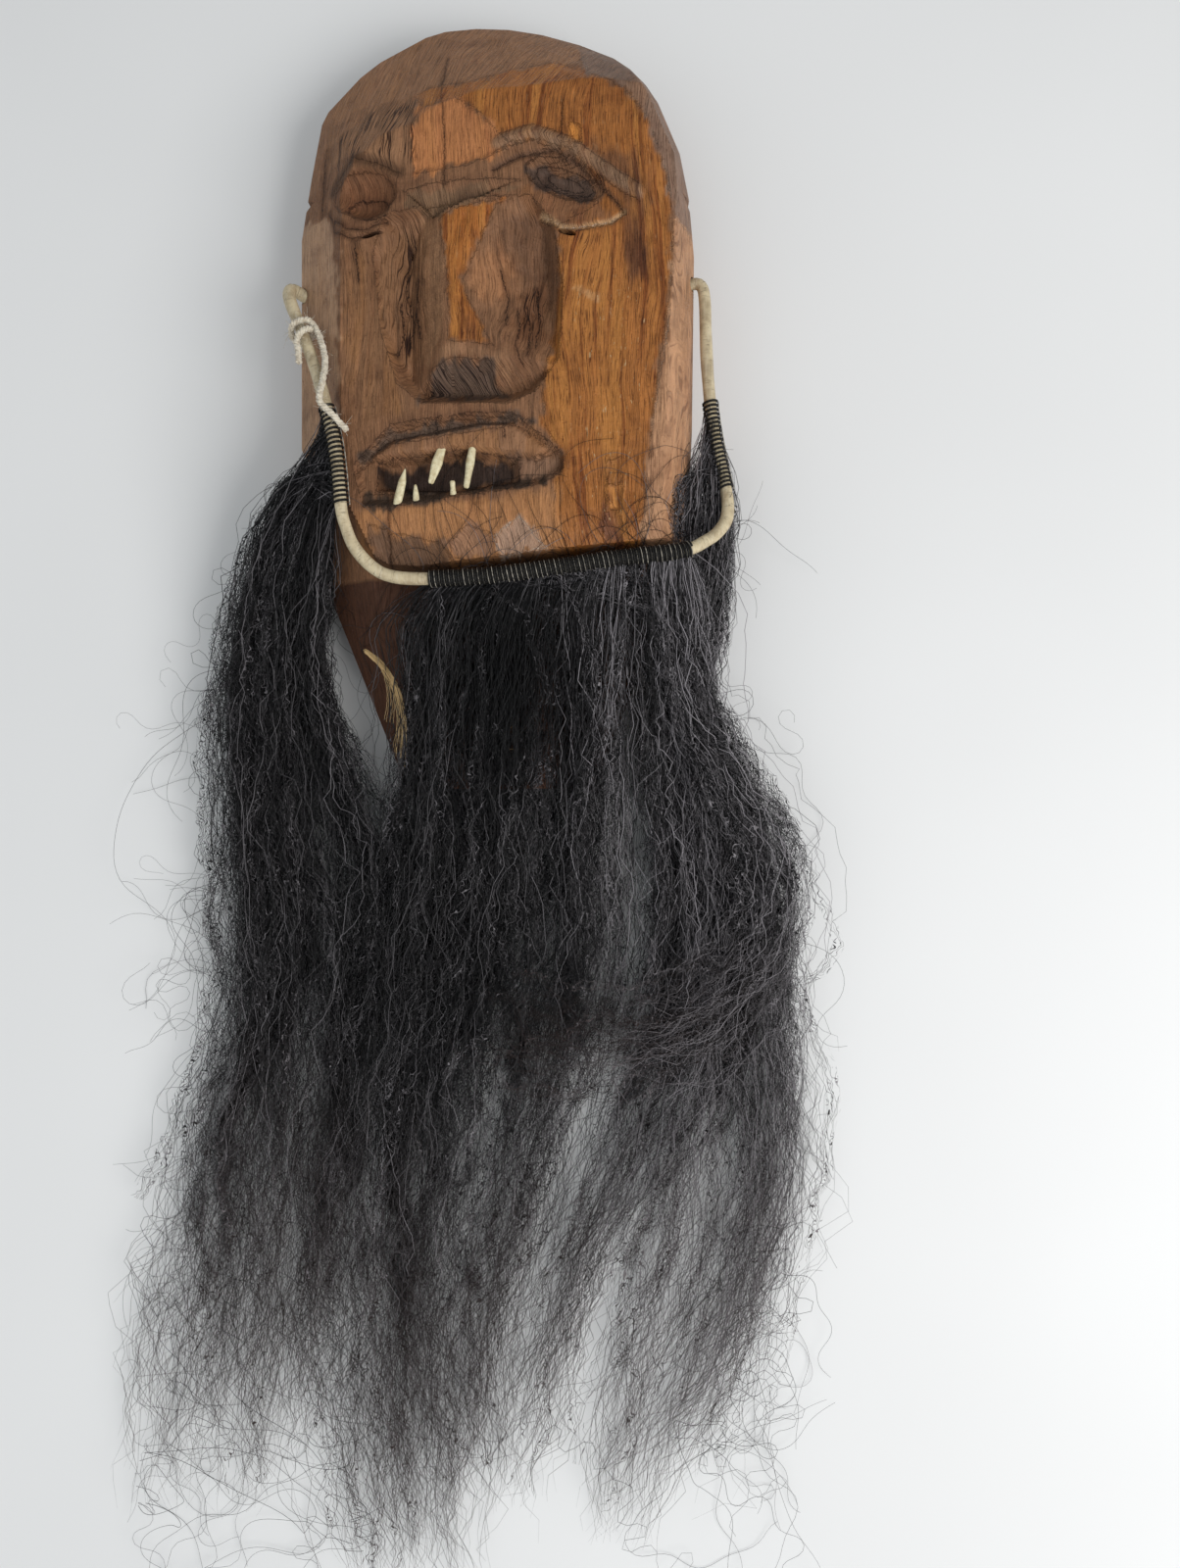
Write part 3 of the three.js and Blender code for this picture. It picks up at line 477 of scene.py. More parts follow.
def knife_work(x, y):
    """What the knife, the grain and the years add to the plain cuts."""
    valley = np.zeros(x.shape)
    for name, soft, start in (("valley_left", 4, 0.5), ("valley_right", 4, 0.5), ("under_dark", 3, 0.3)):
        valley = np.maximum(valley, np.clip(depth_inside(PATCHES[name], x, y) / soft + start, 0, 1))
    bent = x + 1.2 * ripple(x / 9, y / 16, 3)
    z = 0.10 * ripple(bent / 1.4, y / 18, 4) + 0.12 * ripple(bent / 3.1, y / 45, 5)
    crack = np.abs(ripple(bent / 2.6, y / 24, 6))
    z = z - (0.15 + 1.1 * valley) * np.clip(1 - crack / 0.16, 0, 1)
    cut = np.clip(hollow_depth(x, y) / 2, 0, 1)
    z = z + cut * (0.55 * ripple(x / 6, y / 8, 7) + 0.3 * ripple(x / 3, y / 4, 8))
    flank = np.clip(depth_inside(PATCHES["left_flank"], x, y) / 1.5, 0, 1)
    z = z - 0.5 * flank * ((y / 3.1 + 0.2 * ripple(x / 4, y / 9, 9)) % 1) * (y < 140)
    for name, depth, slope in (("pink", 1.0, 0.6), ("chip_one", 1.3, 0.5), ("chip_two", 1.0, 0.4),
                               ("bright_chip", 0.7, 1.0), ("bright_slot", 0.9, 1.0),
                               ("temple_left", 1.1, 0.12), ("red_slot", 0.7, 0.5),
                               ("cheek_left", 0.9, 0.12), ("chin_dark", 1.4, 0.3)):
        z = z - np.clip(slope * depth_inside(PATCHES[name], x, y), 0, depth)
    z = z - 1.5 * np.clip(near_line(LINES["brow_left"], 3.2, x, y), 0, 1) * (
        0.8 + 0.5 * ripple(x / 3, y / 3, 10))
    for name, width, depth in (("lid_left", 1.5, 0.9), ("lid_left_low", 1.4, 0.8),
                               ("brow_low", 1.5, 1.0), ("lid_right", 1.4, 1.0),
                               ("crack_mid", 0.9, 0.5), ("crack_two", 0.9, 0.5),
                               ("crack_chin", 0.9, 0.6), ("crack_left", 1.2, 0.8)):
        z = z - depth * np.clip(near_line(LINES[name], width, x, y), 0, 1)
    rings = eye_reach(EYES[1], x, y)
    z = z + 0.35 * np.clip(1 - rings, 0, 1) ** 0.3 * np.sin(rings * 19 + 0.8 * ripple(x / 4, y / 3, 11))
    deep = ((x - PIT[0]) / PIT[2]) ** 2 + ((y - PIT[1]) / PIT[3]) ** 2
    z = z - 2.2 * np.clip(1 - deep, 0, 1) ** 0.5
    lip = np.clip(depth_inside(PATCHES["upper_lip"], x, y) / 1.5, 0, 1)
    return z + lip * 0.3 * ripple(x / 1.8, y / 6, 12)


def drawn_to(x, y, crease, reach):
    """Moves points that lie near a crease onto it, so that the edge is crisp."""
    small = 0.02
    here = crease(x, y)
    gx, gy = (crease(x + small, y) - here) / small, (crease(x, y + small) - here) / small
    steep = np.maximum(np.hypot(gx, gy), 1e-6)
    off = here / steep
    near = np.abs(off) < reach
    return np.where(near, x - off * gx / steep, x), np.where(near, y - off * gy / steep, y)


def coordinates(piece):
    """A piece's points as its mesh has them."""
    flat = np.empty(len(piece.data.vertices) * 3)
    piece.data.vertices.foreach_get("co", flat)
    return flat.reshape(-1, 3)


def in_mm(piece):
    """A piece's points in millimetres over the face."""
    return (coordinates(piece) - ORIGIN) * 1000


def set_coordinates(piece, points):
    """Moves a piece's points to places in millimetres."""
    piece.data.vertices.foreach_set("co", placed(points).ravel())
    piece.data.update()


def store(mesh, title, values):
    """Keeps a number for each point of a mesh, for its material to read."""
    mesh.attributes.new(title, "FLOAT", "POINT").data.foreach_set("value", np.ravel(values))


def all_selected_to_edit():
    """Opens the piece for editing, with the whole of it selected."""
    bpy.ops.object.mode_set(mode="EDIT")
    bpy.ops.mesh.select_all(action="SELECT")


def back_from_edit():
    """Turns a closed mesh's faces outwards and leaves nothing selected."""
    bpy.ops.mesh.select_all(action="SELECT")
    bpy.ops.mesh.normals_make_consistent(inside=False)
    bpy.ops.object.mode_set(mode="OBJECT")
    bpy.ops.object.select_all(action="DESELECT")


def relief(name, low, high, step, height):
    """A closed block whose top follows a height over x and y."""
    across, along = round((high[0] - low[0]) / step), round((high[1] - low[1]) / step)
    bpy.ops.mesh.primitive_grid_add(x_subdivisions=across, y_subdivisions=along, size=1)
    piece = bpy.context.object
    piece.name = name
    points = coordinates(piece)
    x = low[0] + (points[:, 0] + 0.5) * (high[0] - low[0])
    y = low[1] + (points[:, 1] + 0.5) * (high[1] - low[1])
    x, y, z = height(x, y)
    set_coordinates(piece, np.stack([x, y, z], 1))
    all_selected_to_edit()
    bpy.ops.mesh.region_to_loop()
    bpy.ops.mesh.extrude_region_move()
    bpy.ops.transform.resize(value=(1, 1, 0), center_override=(0, 0, 0))
    bpy.ops.mesh.edge_face_add()
    back_from_edit()
    return piece


def bisected(name, top, planes):
    """A block from the table to a height, cut down by planes: a point and an inward direction."""
    bpy.ops.mesh.primitive_cube_add(size=1)
    piece = bpy.context.object
    piece.name = name
    points = coordinates(piece)
    wide, long, under_table = 500, 700, -5.0
    set_coordinates(piece, np.stack(
        [points[:, 0] * wide, points[:, 1] * long, np.where(points[:, 2] > 0, top, under_table)], 1))
    all_selected_to_edit()
    for point, inward in planes:
        bpy.ops.mesh.select_all(action="SELECT")
        bpy.ops.mesh.bisect(plane_co=placed(point), plane_no=inward, use_fill=True, clear_inner=True)
    back_from_edit()
    return piece


def bevel_plane(edge, nx, ny, rise, width, inset):
    """The plane of a bevel over an edge, moved inwards."""
    steep = math.hypot(rise, width)
    normal = (nx * rise / steep, ny * rise / steep, -width / steep)
    return tuple(p + n * inset for p, n in zip(edge, normal)), normal


def outline_planes(inset, bevelled):
    """The block's upright planes, and its bevels if asked, moved inwards."""
    planes = []
    for ax, ay, nx, ny, bevel in outline_sides():
        planes.append(((ax + nx * inset, ay + ny * inset, 0), (nx, ny, 0)))
        if bevelled:
            planes.append(bevel_plane((ax, ay, SIDE_HEIGHT), nx, ny, BEVEL_RISE, bevel, inset))
    return planes


def neck_planes(inset, bevelled):
    """The tapered neck's planes, moved inwards."""
    run = math.hypot(NECK_TAPER, 1)
    planes = [((0, inset - NECK_LENGTH, 0), (0, 1, 0)), ((0, NECK_START, 0), (0, -1, 0))]
    for side in (-1, 1):
        planes.append(((side * (NECK_HALF_WIDTH - inset), 0, 0), (-side, 0, 0)))
        nx, ny = -side / run, NECK_TAPER / run
        edge = (side * NECK_HALF_END, -NECK_LENGTH, NECK_EDGE_HEIGHT)
        planes.append(((edge[0] + nx * inset, edge[1] + ny * inset, 0), (nx, ny, 0)))
        if bevelled:
            planes.append(bevel_plane(edge, nx, ny, NECK_HEIGHT - NECK_EDGE_HEIGHT, NECK_BEVEL, inset))
    return planes


def combine(piece, other, operation):
    """Joins, cuts or trims a piece with another, which is used up."""
    modifier = piece.modifiers.new("cut", "BOOLEAN")
    modifier.operation = operation
    modifier.solver = "MANIFOLD"
    modifier.object = other
    bpy.context.view_layer.objects.active = piece
    bpy.ops.object.modifier_apply(modifier=modifier.name)
    bpy.data.objects.remove(other)


def unit(vectors):
    """Vectors brought to length 1."""
    return vectors / np.maximum(np.linalg.norm(vectors, axis=-1, keepdims=True), 1e-9)


def run_of(points):
    """How far each point of a path is from its start."""
    steps = np.linalg.norm(np.diff(points[..., :3], axis=-2), axis=-1)
    return np.concatenate([np.zeros_like(steps[..., :1]), np.cumsum(steps, axis=-1)], -1)


def sampled(rows, at):
    """Rows of numbers read between their lines."""
    lines = np.arange(len(rows))
    return np.stack([np.interp(at, lines, rows[:, i]) for i in range(rows.shape[1])], -1)


def smooth_path(points, count):
    """A smooth curve through points, sampled evenly."""
    points = np.asarray(points, float)
    ends = np.concatenate([[2 * points[0] - points[1]], points, [2 * points[-1] - points[-2]]])
    fine = []
    for a, b, c, d in zip(ends, ends[1:], ends[2:], ends[3:]):
        t = np.linspace(0, 1, 24, endpoint=False)[:, None]
        fine.append(0.5 * (2 * b + (c - a) * t + (2 * a - 5 * b + 4 * c - d) * t ** 2
                           + (3 * b - a - 3 * c + d) * t ** 3))
    fine = np.concatenate(fine + [points[-1:]])
    run = run_of(fine)
    at = np.linspace(0, run[-1], count)
    return np.stack([np.interp(at, run, fine[:, i]) for i in range(fine.shape[1])], 1)


def linked(name, mesh):
    """A mesh as a piece of the scene."""
    piece = bpy.data.objects.new(name, mesh)
    bpy.context.collection.objects.link(piece)
    return piece


UP = (0.0, 0.0, 1.0)


def tubes(name, paths, radii, sides, marks=None):
    """Closed tubes along paths of equal length: one mesh, with its marks stored on its points."""
    paths = np.asarray(paths, float)
    if paths.ndim == 2:
        paths = paths[None]
    count, steps = paths.shape[:2]
    radii = np.broadcast_to(np.asarray(radii, float), (count, steps))
    forward = unit(np.gradient(paths, axis=1))
    across = np.cross(np.broadcast_to(UP, forward.shape), forward)
    width = np.linalg.norm(across, axis=2, keepdims=True)
    across = np.where(width > 0.05, across / np.maximum(width, 1e-9), (1.0, 0.0, 0.0))
    up = np.cross(forward, across)
    angle = (np.arange(sides) / sides + 0.25) * 2 * math.pi
    ring = (across[:, :, None] * np.cos(angle)[None, None, :, None]
            + up[:, :, None] * np.sin(angle)[None, None, :, None])
    points = paths[:, :, None] + ring * radii[:, :, None, None]
    base = (np.arange(count) * steps * sides)[:, None, None]
    k, s = np.arange(steps - 1)[None, :, None], np.arange(sides)[None, None, :]
    here, after = base + k * sides, base + (k + 1) * sides
    turn = (s + 1) % sides
    walls = np.stack(np.broadcast_arrays(here + s, here + turn, after + turn, after + s), -1)
    starts = (base[:, 0] + np.arange(sides)[::-1][None]).reshape(-1)
    ends = (base[:, 0] + (steps - 1) * sides + np.arange(sides)[None]).reshape(-1)
    corners = np.concatenate([walls.reshape(-1), starts, ends])
    sizes = np.concatenate([np.full(walls.size // 4, 4), np.full(count * 2, sides)])
    mesh = bpy.data.meshes.new(name)
    mesh.vertices.add(points.size // 3)
    mesh.vertices.foreach_set("co", placed(points.reshape(-1, 3)).ravel())
    mesh.loops.add(len(corners))
    mesh.loops.foreach_set("vertex_index", corners)
    mesh.polygons.add(len(sizes))
    mesh.polygons.foreach_set("loop_start", np.concatenate([[0], np.cumsum(sizes)[:-1]]))
    mesh.update(calc_edges=True)
    mesh.validate()
    mesh.polygons.foreach_set("use_smooth", np.ones(len(sizes), bool))
    for title, values in ({"Along": run_of(paths)} | (marks or {})).items():
        store(mesh, title, np.repeat(np.broadcast_to(values, (count, steps)).ravel(), sides))
    return linked(name, mesh)


def face_surface(x, y):
    """The whole front of the block, with its edges drawn onto the creases."""
    for crease in (lambda x, y: depth_inside(HOLLOW, x, y), lambda x, y: depth_inside(MOUTH, x, y),
                   lambda x, y: depth_inside(OPENING, x, y),
                   lambda x, y: depth_inside(PATCHES["pink"], x, y),
                   lambda x, y: carved_height(x, y) - bevel_height(x, y)):
        x, y = drawn_to(x, y, crease, 0.45 * GRID_STEP)
    carved, bevel = carved_height(x, y) + knife_work(x, y), bevel_height(x, y)
    hewn = bevel + 0.22 * ripple(x / 13, y / 17, 21) + 0.08 * ripple(x / 2.5, y / 9, 22)
    edge = np.clip((bevel - SIDE_HEIGHT) / 3, 0, 1)
    top = np.minimum(carved, np.where(bevel > SIDE_HEIGHT, bevel + (hewn - bevel) * edge, bevel))
    return x, y, np.maximum(top, SIDE_HEIGHT - OUTSIDE_DROP)


def neck_surface(x, y):
    """The neck's top, with its bevelled sides."""
    run = math.hypot(NECK_TAPER, 1)
    inward = np.minimum(*[(-side * (x - side * NECK_HALF_END) + NECK_TAPER * (y + NECK_LENGTH)) / run
                          for side in (-1, 1)])
    slope = NECK_EDGE_HEIGHT + inward * (NECK_HEIGHT - NECK_EDGE_HEIGHT) / NECK_BEVEL
    rough = 0.5 * ripple(x / 5, y / 14, 31) + 0.2 * ripple(x / 1.8, y / 12, 32)
    return x, y, np.maximum(3.0, np.minimum(slope, NECK_HEIGHT - 0.4 + 0.4 * rough))


ABOVE = 90.0
NOTCH_TOP = 70.0
block = relief("mask_block", (-87.0, -2.0), (87.0, 242.0), GRID_STEP, face_surface)
combine(block, bisected("outline", ABOVE, outline_planes(0, False)), "INTERSECT")
neck = relief("neck", (-86.0, -92.0), (86.0, 36.0), NECK_STEP, neck_surface)
combine(neck, bisected("neck_outline", ABOVE, neck_planes(0, False)), "INTERSECT")
combine(block, neck, "UNION")
combine(block, bisected("hollow", FACE_HEIGHT - ROOF, outline_planes(WALL, True)), "DIFFERENCE")
combine(block, bisected("neck_hollow", NECK_HEIGHT - NECK_ROOF, neck_planes(NECK_WALL, True)),
        "DIFFERENCE")
for eye in EYES:
    bpy.ops.mesh.primitive_cylinder_add(vertices=20, radius=1, depth=1)
    slit = bpy.context.object
    points = coordinates(slit)
    x, y, turn = eye["slit"]
    wide, high = points[:, 0] * SLIT_HALF_LENGTH, points[:, 1] * SLIT_HALF_HEIGHT
    set_coordinates(slit, np.stack(
        [x + wide * math.cos(turn) - high * math.sin(turn),
         y + wide * math.sin(turn) + high * math.cos(turn), 45 + points[:, 2] * 40], 1))
    combine(block, slit, "DIFFERENCE")
for side in (-1, 1):
    bottom = (side * NOTCH[0], NOTCH[1], 0)
    combine(block, bisected("notch", NOTCH_TOP, [
        (bottom, (side * NOTCH_SLOPE[0], way * NOTCH_SLOPE[1], 0)) for way in (1, -1)]), "DIFFERENCE")
rod_hole = tubes("rod_hole", smooth_path(ROD, ROD_HOLE_STEPS), ROD_HOLE, ROD_HOLE_SIDES)
combine(block, rod_hole, "DIFFERENCE")


def ring(x, y, wide, high, turn):
    """The corners of an oval."""
    angle = np.linspace(0, 2 * math.pi, 20, endpoint=False)
    across, up = wide * np.cos(angle), high * np.sin(angle)
    return [(x + a * math.cos(turn) - b * math.sin(turn), y + a * math.sin(turn) + b * math.cos(turn))
            for a, b in zip(across, up)]


# Worn edges and cuts, and how dark the dirt and painted crease shade along each is. A light edge is below
# zero.
OUTLINES = [
    (HOLLOW, 0.15), (ROOT_CUT, 0.35), (MOUTH, 0.5), (UPPER_LIP, 0.25), (OPENING, 0.65),
    (ring(29.5, 162, 17, 8, -0.32), 0.55), (ring(-54.2, 156.3, 13, 9.8, 0.05), 0.35),
    (ring(*PIT, 0.0), 0.7), (ring(29.5, 162, 12.5, 5.2, -0.32), 0.7),
    (ring(30, 161.6, 8, 2.6, -0.32), 0.6),
] + [(PATCHES[name], dark) for name, dark in (
    ("nose_front", 0.12), ("pink", 0.2), ("flap", 0.2), ("under_dark", 0.25), ("ledge", 0.35),
    ("lip_groove", 0.3), ("chip_one", -0.7), ("chip_two", 0.12), ("orange", 0.1),
    ("chin_dark", 0.12), ("bright_chip", 0.2), ("bright_slot", 0.25), ("red_slot", 0.2),
    ("bevel_right", -0.2), ("bevel_upper", -0.2))]
STROKES = [
    (LINES["brow_left"], 0.35), (LINES["lid_left"], 0.5), (LINES["lid_left_low"], 0.55),
    (LINES["brow_low"], 0.45), (LINES["lid_right"], -0.6), (LINES["crack_mid"], 0.3),
    (LINES["crack_two"], 0.3), (LINES["crack_chin"], 0.3), (LINES["crack_left"], 0.3),
    ([(x - 0.5, y - 1.3) for x, y in LINES["lid_right"]], 0.6),
    ([(x, y + 3.2) for x, y in BROW], 0.4), ([(x - 1, y - 3.2) for x, y in BROW], 0.4),
] + [(crack, 0.8) for crack in CRACKS]


def line_work(x, y):
    """How far the nearest worn edge or cut is, told apart by side, and how dark it is."""
    nearest, side, dark = np.full(x.shape, FAR), np.ones(x.shape), np.zeros(x.shape)
    for points, strength in [(corners + corners[:1], dirt_and_shade) for corners, dirt_and_shade in OUTLINES] + STROKES:
        for (ax, ay), (bx, by) in zip(points, points[1:]):
            away = away_from((ax, ay), (bx, by), x, y)
            closer = away < nearest
            nearest = np.where(closer, away, nearest)
            side = np.where(closer, np.sign((y - ay) * (bx - ax) - (x - ax) * (by - ay)), side)
            dark = np.where(closer, strength, dark)
    return nearest * side, nearest, dark


def sun_colour(red, green, blue):
    """A colour as seen, from 0 to 255, as the shader counts it."""
    return np.array([(v / 255 / 12.92) if v < 10.3 else ((v / 255 + 0.055) / 1.055) ** 2.4
                     for v in (red, green, blue)])


def painted(x, y, z):
    """The wood's colour and how much of its old planed skin is left, over points."""
    colour = np.tile(sun_colour(132, 94, 66), (len(x), 1))
    skin = np.zeros(len(x))
    uneven = 2.6 * ripple(x / 3.5, y / 6, 41) + 1.4 * ripple(x / 1.3, y / 3, 42)

    def lay(shape, hue, soft, strength=1.0, skin_left=None):
        nonlocal colour, skin
        ragged = depth_inside(PATCHES[shape], x, y) + uneven * min(1, (soft + 1.2) / 3)
        inside = np.clip(0.5 + ragged / soft, 0, 1)
        share = (inside * inside * (3 - 2 * inside) * strength)[:, None]
        colour = colour * (1 - share) + sun_colour(*hue) * share
        if skin_left is not None:
            skin = skin * (1 - share[:, 0]) + skin_left * share[:, 0]

    lay("orange", (160, 101, 50), 2.5, 1.0, 1.0)
    lay("nose_front", (160, 97, 44), 1.4, 1.0, 1.0)
    lay("nose_foot", (122, 74, 42), 5, 0.75)
    lay("temple_left", (145, 106, 76), 8)
    lay("pink", (181, 120, 75), 1.4, 1.0, 0.2)
    lay("cheek_left", (134, 96, 66), 9, 0.9, 0.3)
    lay("right_flank", (132, 94, 66), 2.5, 1.0, 0.0)
    lay("flank_light", (160, 112, 76), 7, 0.9)
    lay("flank_dark", (108, 76, 54), 7, 0.9)
    lay("valley_right", (112, 74, 48), 6, 0.8)
    lay("left_flank", (149, 110, 79), 2.5, 1.0, 0.0)
    lay("valley_left", (126, 90, 62), 5, 0.9, 0.0)
    lay("root_cut", (124, 94, 68), 1.6, 1.0, 0.0)
    lay("under_light", (146, 108, 78), 3, 0.9)
    # Painted shade: the nose's underside faces down, and its darker colour stands in for the shade there.
    lay("under_dark", (97, 76, 62), 3, 1.0, 0.0)
    lay("dark_temple", (106, 72, 50), 9, 0.75)
    lay("red_temple", (92, 58, 40), 7, 0.8)
    lay("lid_right", (132, 90, 60), 3, 0.85, 0.2)
    lay("chin", (170, 119, 76), 5, 0.9, 0.1)
    # Painted shade: the chin's lower left edge turns down, and its darker colour stands in for the shade
    # there.
    lay("chin_dark", (100, 74, 56), 4, 0.9)
    lay("chip_two", (152, 112, 84), 1.5)
    lay("chip_one", (172, 138, 114), 1.2)
    lay("lip_groove", (96, 76, 62), 2, 1.0, 0.0)
    lay("upper_lip", (146, 106, 76), 2, 1.0, 0.3)
    # Painted shade: the shallow mouth opening is coloured dark brown for the shade inside it.
    lay("opening", (58, 42, 34), 2.5, 1.0, 0.0)
    lay("flap", (138, 104, 80), 2.5)
    lay("ledge", (72, 56, 44), 2.2, 0.95, 0.0)
    lay("red_slot", (110, 66, 42), 3, 0.85)
    lay("bright_chip", (200, 132, 62), 0.8)
    lay("bright_slot", (192, 130, 72), 1.2)
    lay("scar", (182, 138, 96), 1.0)
    lay("bevel_crown", (147, 107, 77), 1.6, 1.0, 0.15)
    lay("bevel_upper", (134, 106, 88), 1.6, 1.0, 0.2)
    lay("bevel_right", (178, 134, 100), 1.6, 1.0, 0.15)
    lay("bevel_left", (176, 140, 110), 2.2, 1.0, 0.15)
    lay("eye_right", (92, 72, 60), 1.6, 1.0, 0.0)
    socket = np.clip(1.15 - eye_reach(EYES[0], x, y), 0, 1)[:, None] ** 0.5
    colour = colour * (1 - 0.85 * socket) + sun_colour(112, 72, 46) * 0.85 * socket
    for name, width, strength, hue in (
            ("brow_left", 3.6, 0.75, (84, 58, 38)), ("lid_left", 1.6, 0.6, (96, 64, 42)),
            ("lid_left_low", 1.5, 0.6, (96, 64, 42)), ("brow_low", 1.7, 0.7, (92, 66, 50)),
            ("lid_right", 1.5, 0.7, (196, 160, 118)), ("crack_mid", 0.6, 0.45, (70, 40, 24)),
            ("crack_two", 0.6, 0.45, (70, 40, 24)), ("crack_chin", 0.6, 0.45, (60, 36, 22)),
            ("crack_left", 1.0, 0.9, (60, 40, 28))):
        share = strength * np.clip(near_line(LINES[name], width, x, y) * 1.5, 0, 1)[:, None]
        colour = colour * (1 - share) + sun_colour(*hue) * share
    share = 0.75 * np.clip(near_line(BROW, 3.6, x, y) * 2, 0, 1)[:, None]
    colour = colour * (1 - share) + sun_colour(140, 112, 88) * share
    buried = np.minimum(carved_height(x, y), bevel_height(x, y)) - z
    neck = y < -0.5
    colour = np.where(((buried > 2.5) & ~neck)[:, None], sun_colour(140, 104, 78), colour)
    inside = (buried > 12) & (np.abs(x) < 72) & ~neck
    colour = np.where(inside[:, None], sun_colour(146, 104, 68), colour)
    colour = np.where(neck[:, None], sun_colour(84, 54, 38), colour)
    return colour, np.where(buried > 2.5, 0.0, skin)


x, y, z = in_mm(block).T
tint, skin = painted(x, y, z)
layer = block.data.attributes.new("Tint", "FLOAT_COLOR", "POINT")
layer.data.foreach_set("color", np.concatenate([tint, np.ones((len(tint), 1))], 1).ravel())
line, away, dark = line_work(x, y)
on_front = (z > SIDE_HEIGHT) & (y > -1)
cracked = sum(np.clip(depth_inside(PATCHES[name], x, y) / 4 + 0.4, 0, 1)
              for name in ("valley_left", "valley_right", "under_dark", "temple_left"))
store(block.data, "Skin", skin)
store(block.data, "Line", np.clip(line, -5, 5))
store(block.data, "Near", np.clip((1.3 - away) / 0.4, 0, 1) * on_front)
store(block.data, "Dark", dark)
# Dirt and painted crease shade, darkest right along the dark cuts and rims.
store(block.data, "Grime", np.exp(-(away / 1.7) ** 2) * np.maximum(dark, 0) * on_front)
store(block.data, "Crack", np.clip(cracked, 0, 1) * on_front + 0.2)

hewn_wood, wood_shader, wire = new_finish("hewn_wood", IOR=1.45, Specular_IOR_Level=0.28)
tint = wire.mark("Tint", "Color")
skin, line, near, dark, grime, cracked = (
    wire.mark(title) for title in ("Skin", "Line", "Near", "Dark", "Grime", "Crack"))
place = object_mm(wire)
x, y, z = place.part("X"), place.part("Y"), place.part("Z")
wander = place.node("ShaderNodeVectorMath", {0: place, 1: (0.03, 0.012, 0.03)},
                    operation="MULTIPLY").noise(1.0, 2.0)
across = x + z * 0.8 + wander * 16
fine = wire.vector(across * 1.7, y * 0.035, z * 0.3).noise(1.0, 6.0, 0.66)
pores = wire.vector(across * 3.2, y * 0.12, 7.0).noise(1.0, 2.0, 0.5).step(0.55, 0.66)
streak = wire.vector(across * 0.40, y * 0.013, z * 0.1).noise(1.0, 4.0, 0.6)
bands = wire.vector(across * 0.10, y * 0.007, 3.0).noise(1.0, 3.0)
stain = place.noise(0.05, 4.0, 0.6, 0.6)
speck = place.noise(0.8, 2.0).step(0.66, 0.72)
split = wire.vector(across * 0.55, y * 0.026, 5.0).noise(1.0, 2.0, 0.4) - 0.5
split = (1.0 - split.math("ABSOLUTE", split).step(0.004, 0.028)) * cracked
rough = place.noise(0.9, 3.0)
edge = line + (rough - 0.5) * 2.2 + (place.noise(0.25, 1.0) - 0.5) * 2.0
broken = place.noise(0.22, 3.0, 0.6, 3.0).step(0.32, 0.55) * 0.8 + 0.2
edge = (1.0 - edge.math("ABSOLUTE", edge).step(0.03, 0.36)) * near * broken
shade = 1.0 + (fine - 0.5) * 1.5 + (streak - 0.5) * 1.0
colour = wire.node("ShaderNodeVectorMath", {0: tint, 3: shade}, operation="SCALE")
colour = (bands.step(0.48, 0.60) * skin * 0.65).mix(colour, (0.46, 0.19, 0.045, 1))
colour = (streak.step(0.52, 0.66) * (skin * 0.65 + 0.2)).times(colour, (0.40, 0.29, 0.25, 1))
colour = (stain.step(0.50, 0.72) * 0.6).times(colour, (0.50, 0.42, 0.40, 1))
colour = (pores * (skin * 0.4 + 0.42)).times(colour, (0.30, 0.22, 0.19, 1))
flake = wire.vector(across * 0.55, y * 0.11, 2.0).noise(1.0, 3.0, 0.7).step(0.63, 0.67)
low_cheek = x.step(30.0, 42.0) * (1.0 - y.step(110.0, 128.0))
colour = (flake * skin * (low_cheek * 0.75 + 0.12)).mix(colour, (0.50, 0.33, 0.17, 1))
colour = (speck * 0.5).times(colour, (0.35, 0.25, 0.2, 1))
# Dirt and painted crease shade darken the wood along the cuts and rims.
colour = (grime * 0.75).times(colour, (0.42, 0.36, 0.34, 1))
colour = (split * 0.85).times(colour, (0.14, 0.10, 0.09, 1))
# Dark lines along the cuts and rims: dirt and painted crease shade.
colour = (edge * dark.math("MAXIMUM", dark, 0.0)).times(colour, (0.10, 0.08, 0.07, 1))
colour = (edge * dark.math("MAXIMUM", dark * -1.0, 0.0)).mix(colour, (0.60, 0.46, 0.36, 1))
connect(wood_shader, colour, "Base Color")
connect(wood_shader, 0.62 - skin * 0.14 - fine * 0.1 + grime * 0.2, "Roughness")
height = fine * 0.7 - pores * 0.45 - split * 1.3 - edge * 1.2 + rough * 0.5
height = height + place.noise(0.3, 2.0) * 0.8
roughen(wood_shader, height, 0.8, 0.0006)
block.data.materials.clear()
block.data.materials.append(hewn_wood)
bpy.ops.object.select_all(action="DESELECT")
block.select_set(True)
bpy.context.view_layer.objects.active = block
bpy.ops.object.shade_smooth_by_angle(angle=math.radians(32))
block.select_set(False)
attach(block, "root")
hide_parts("mask")

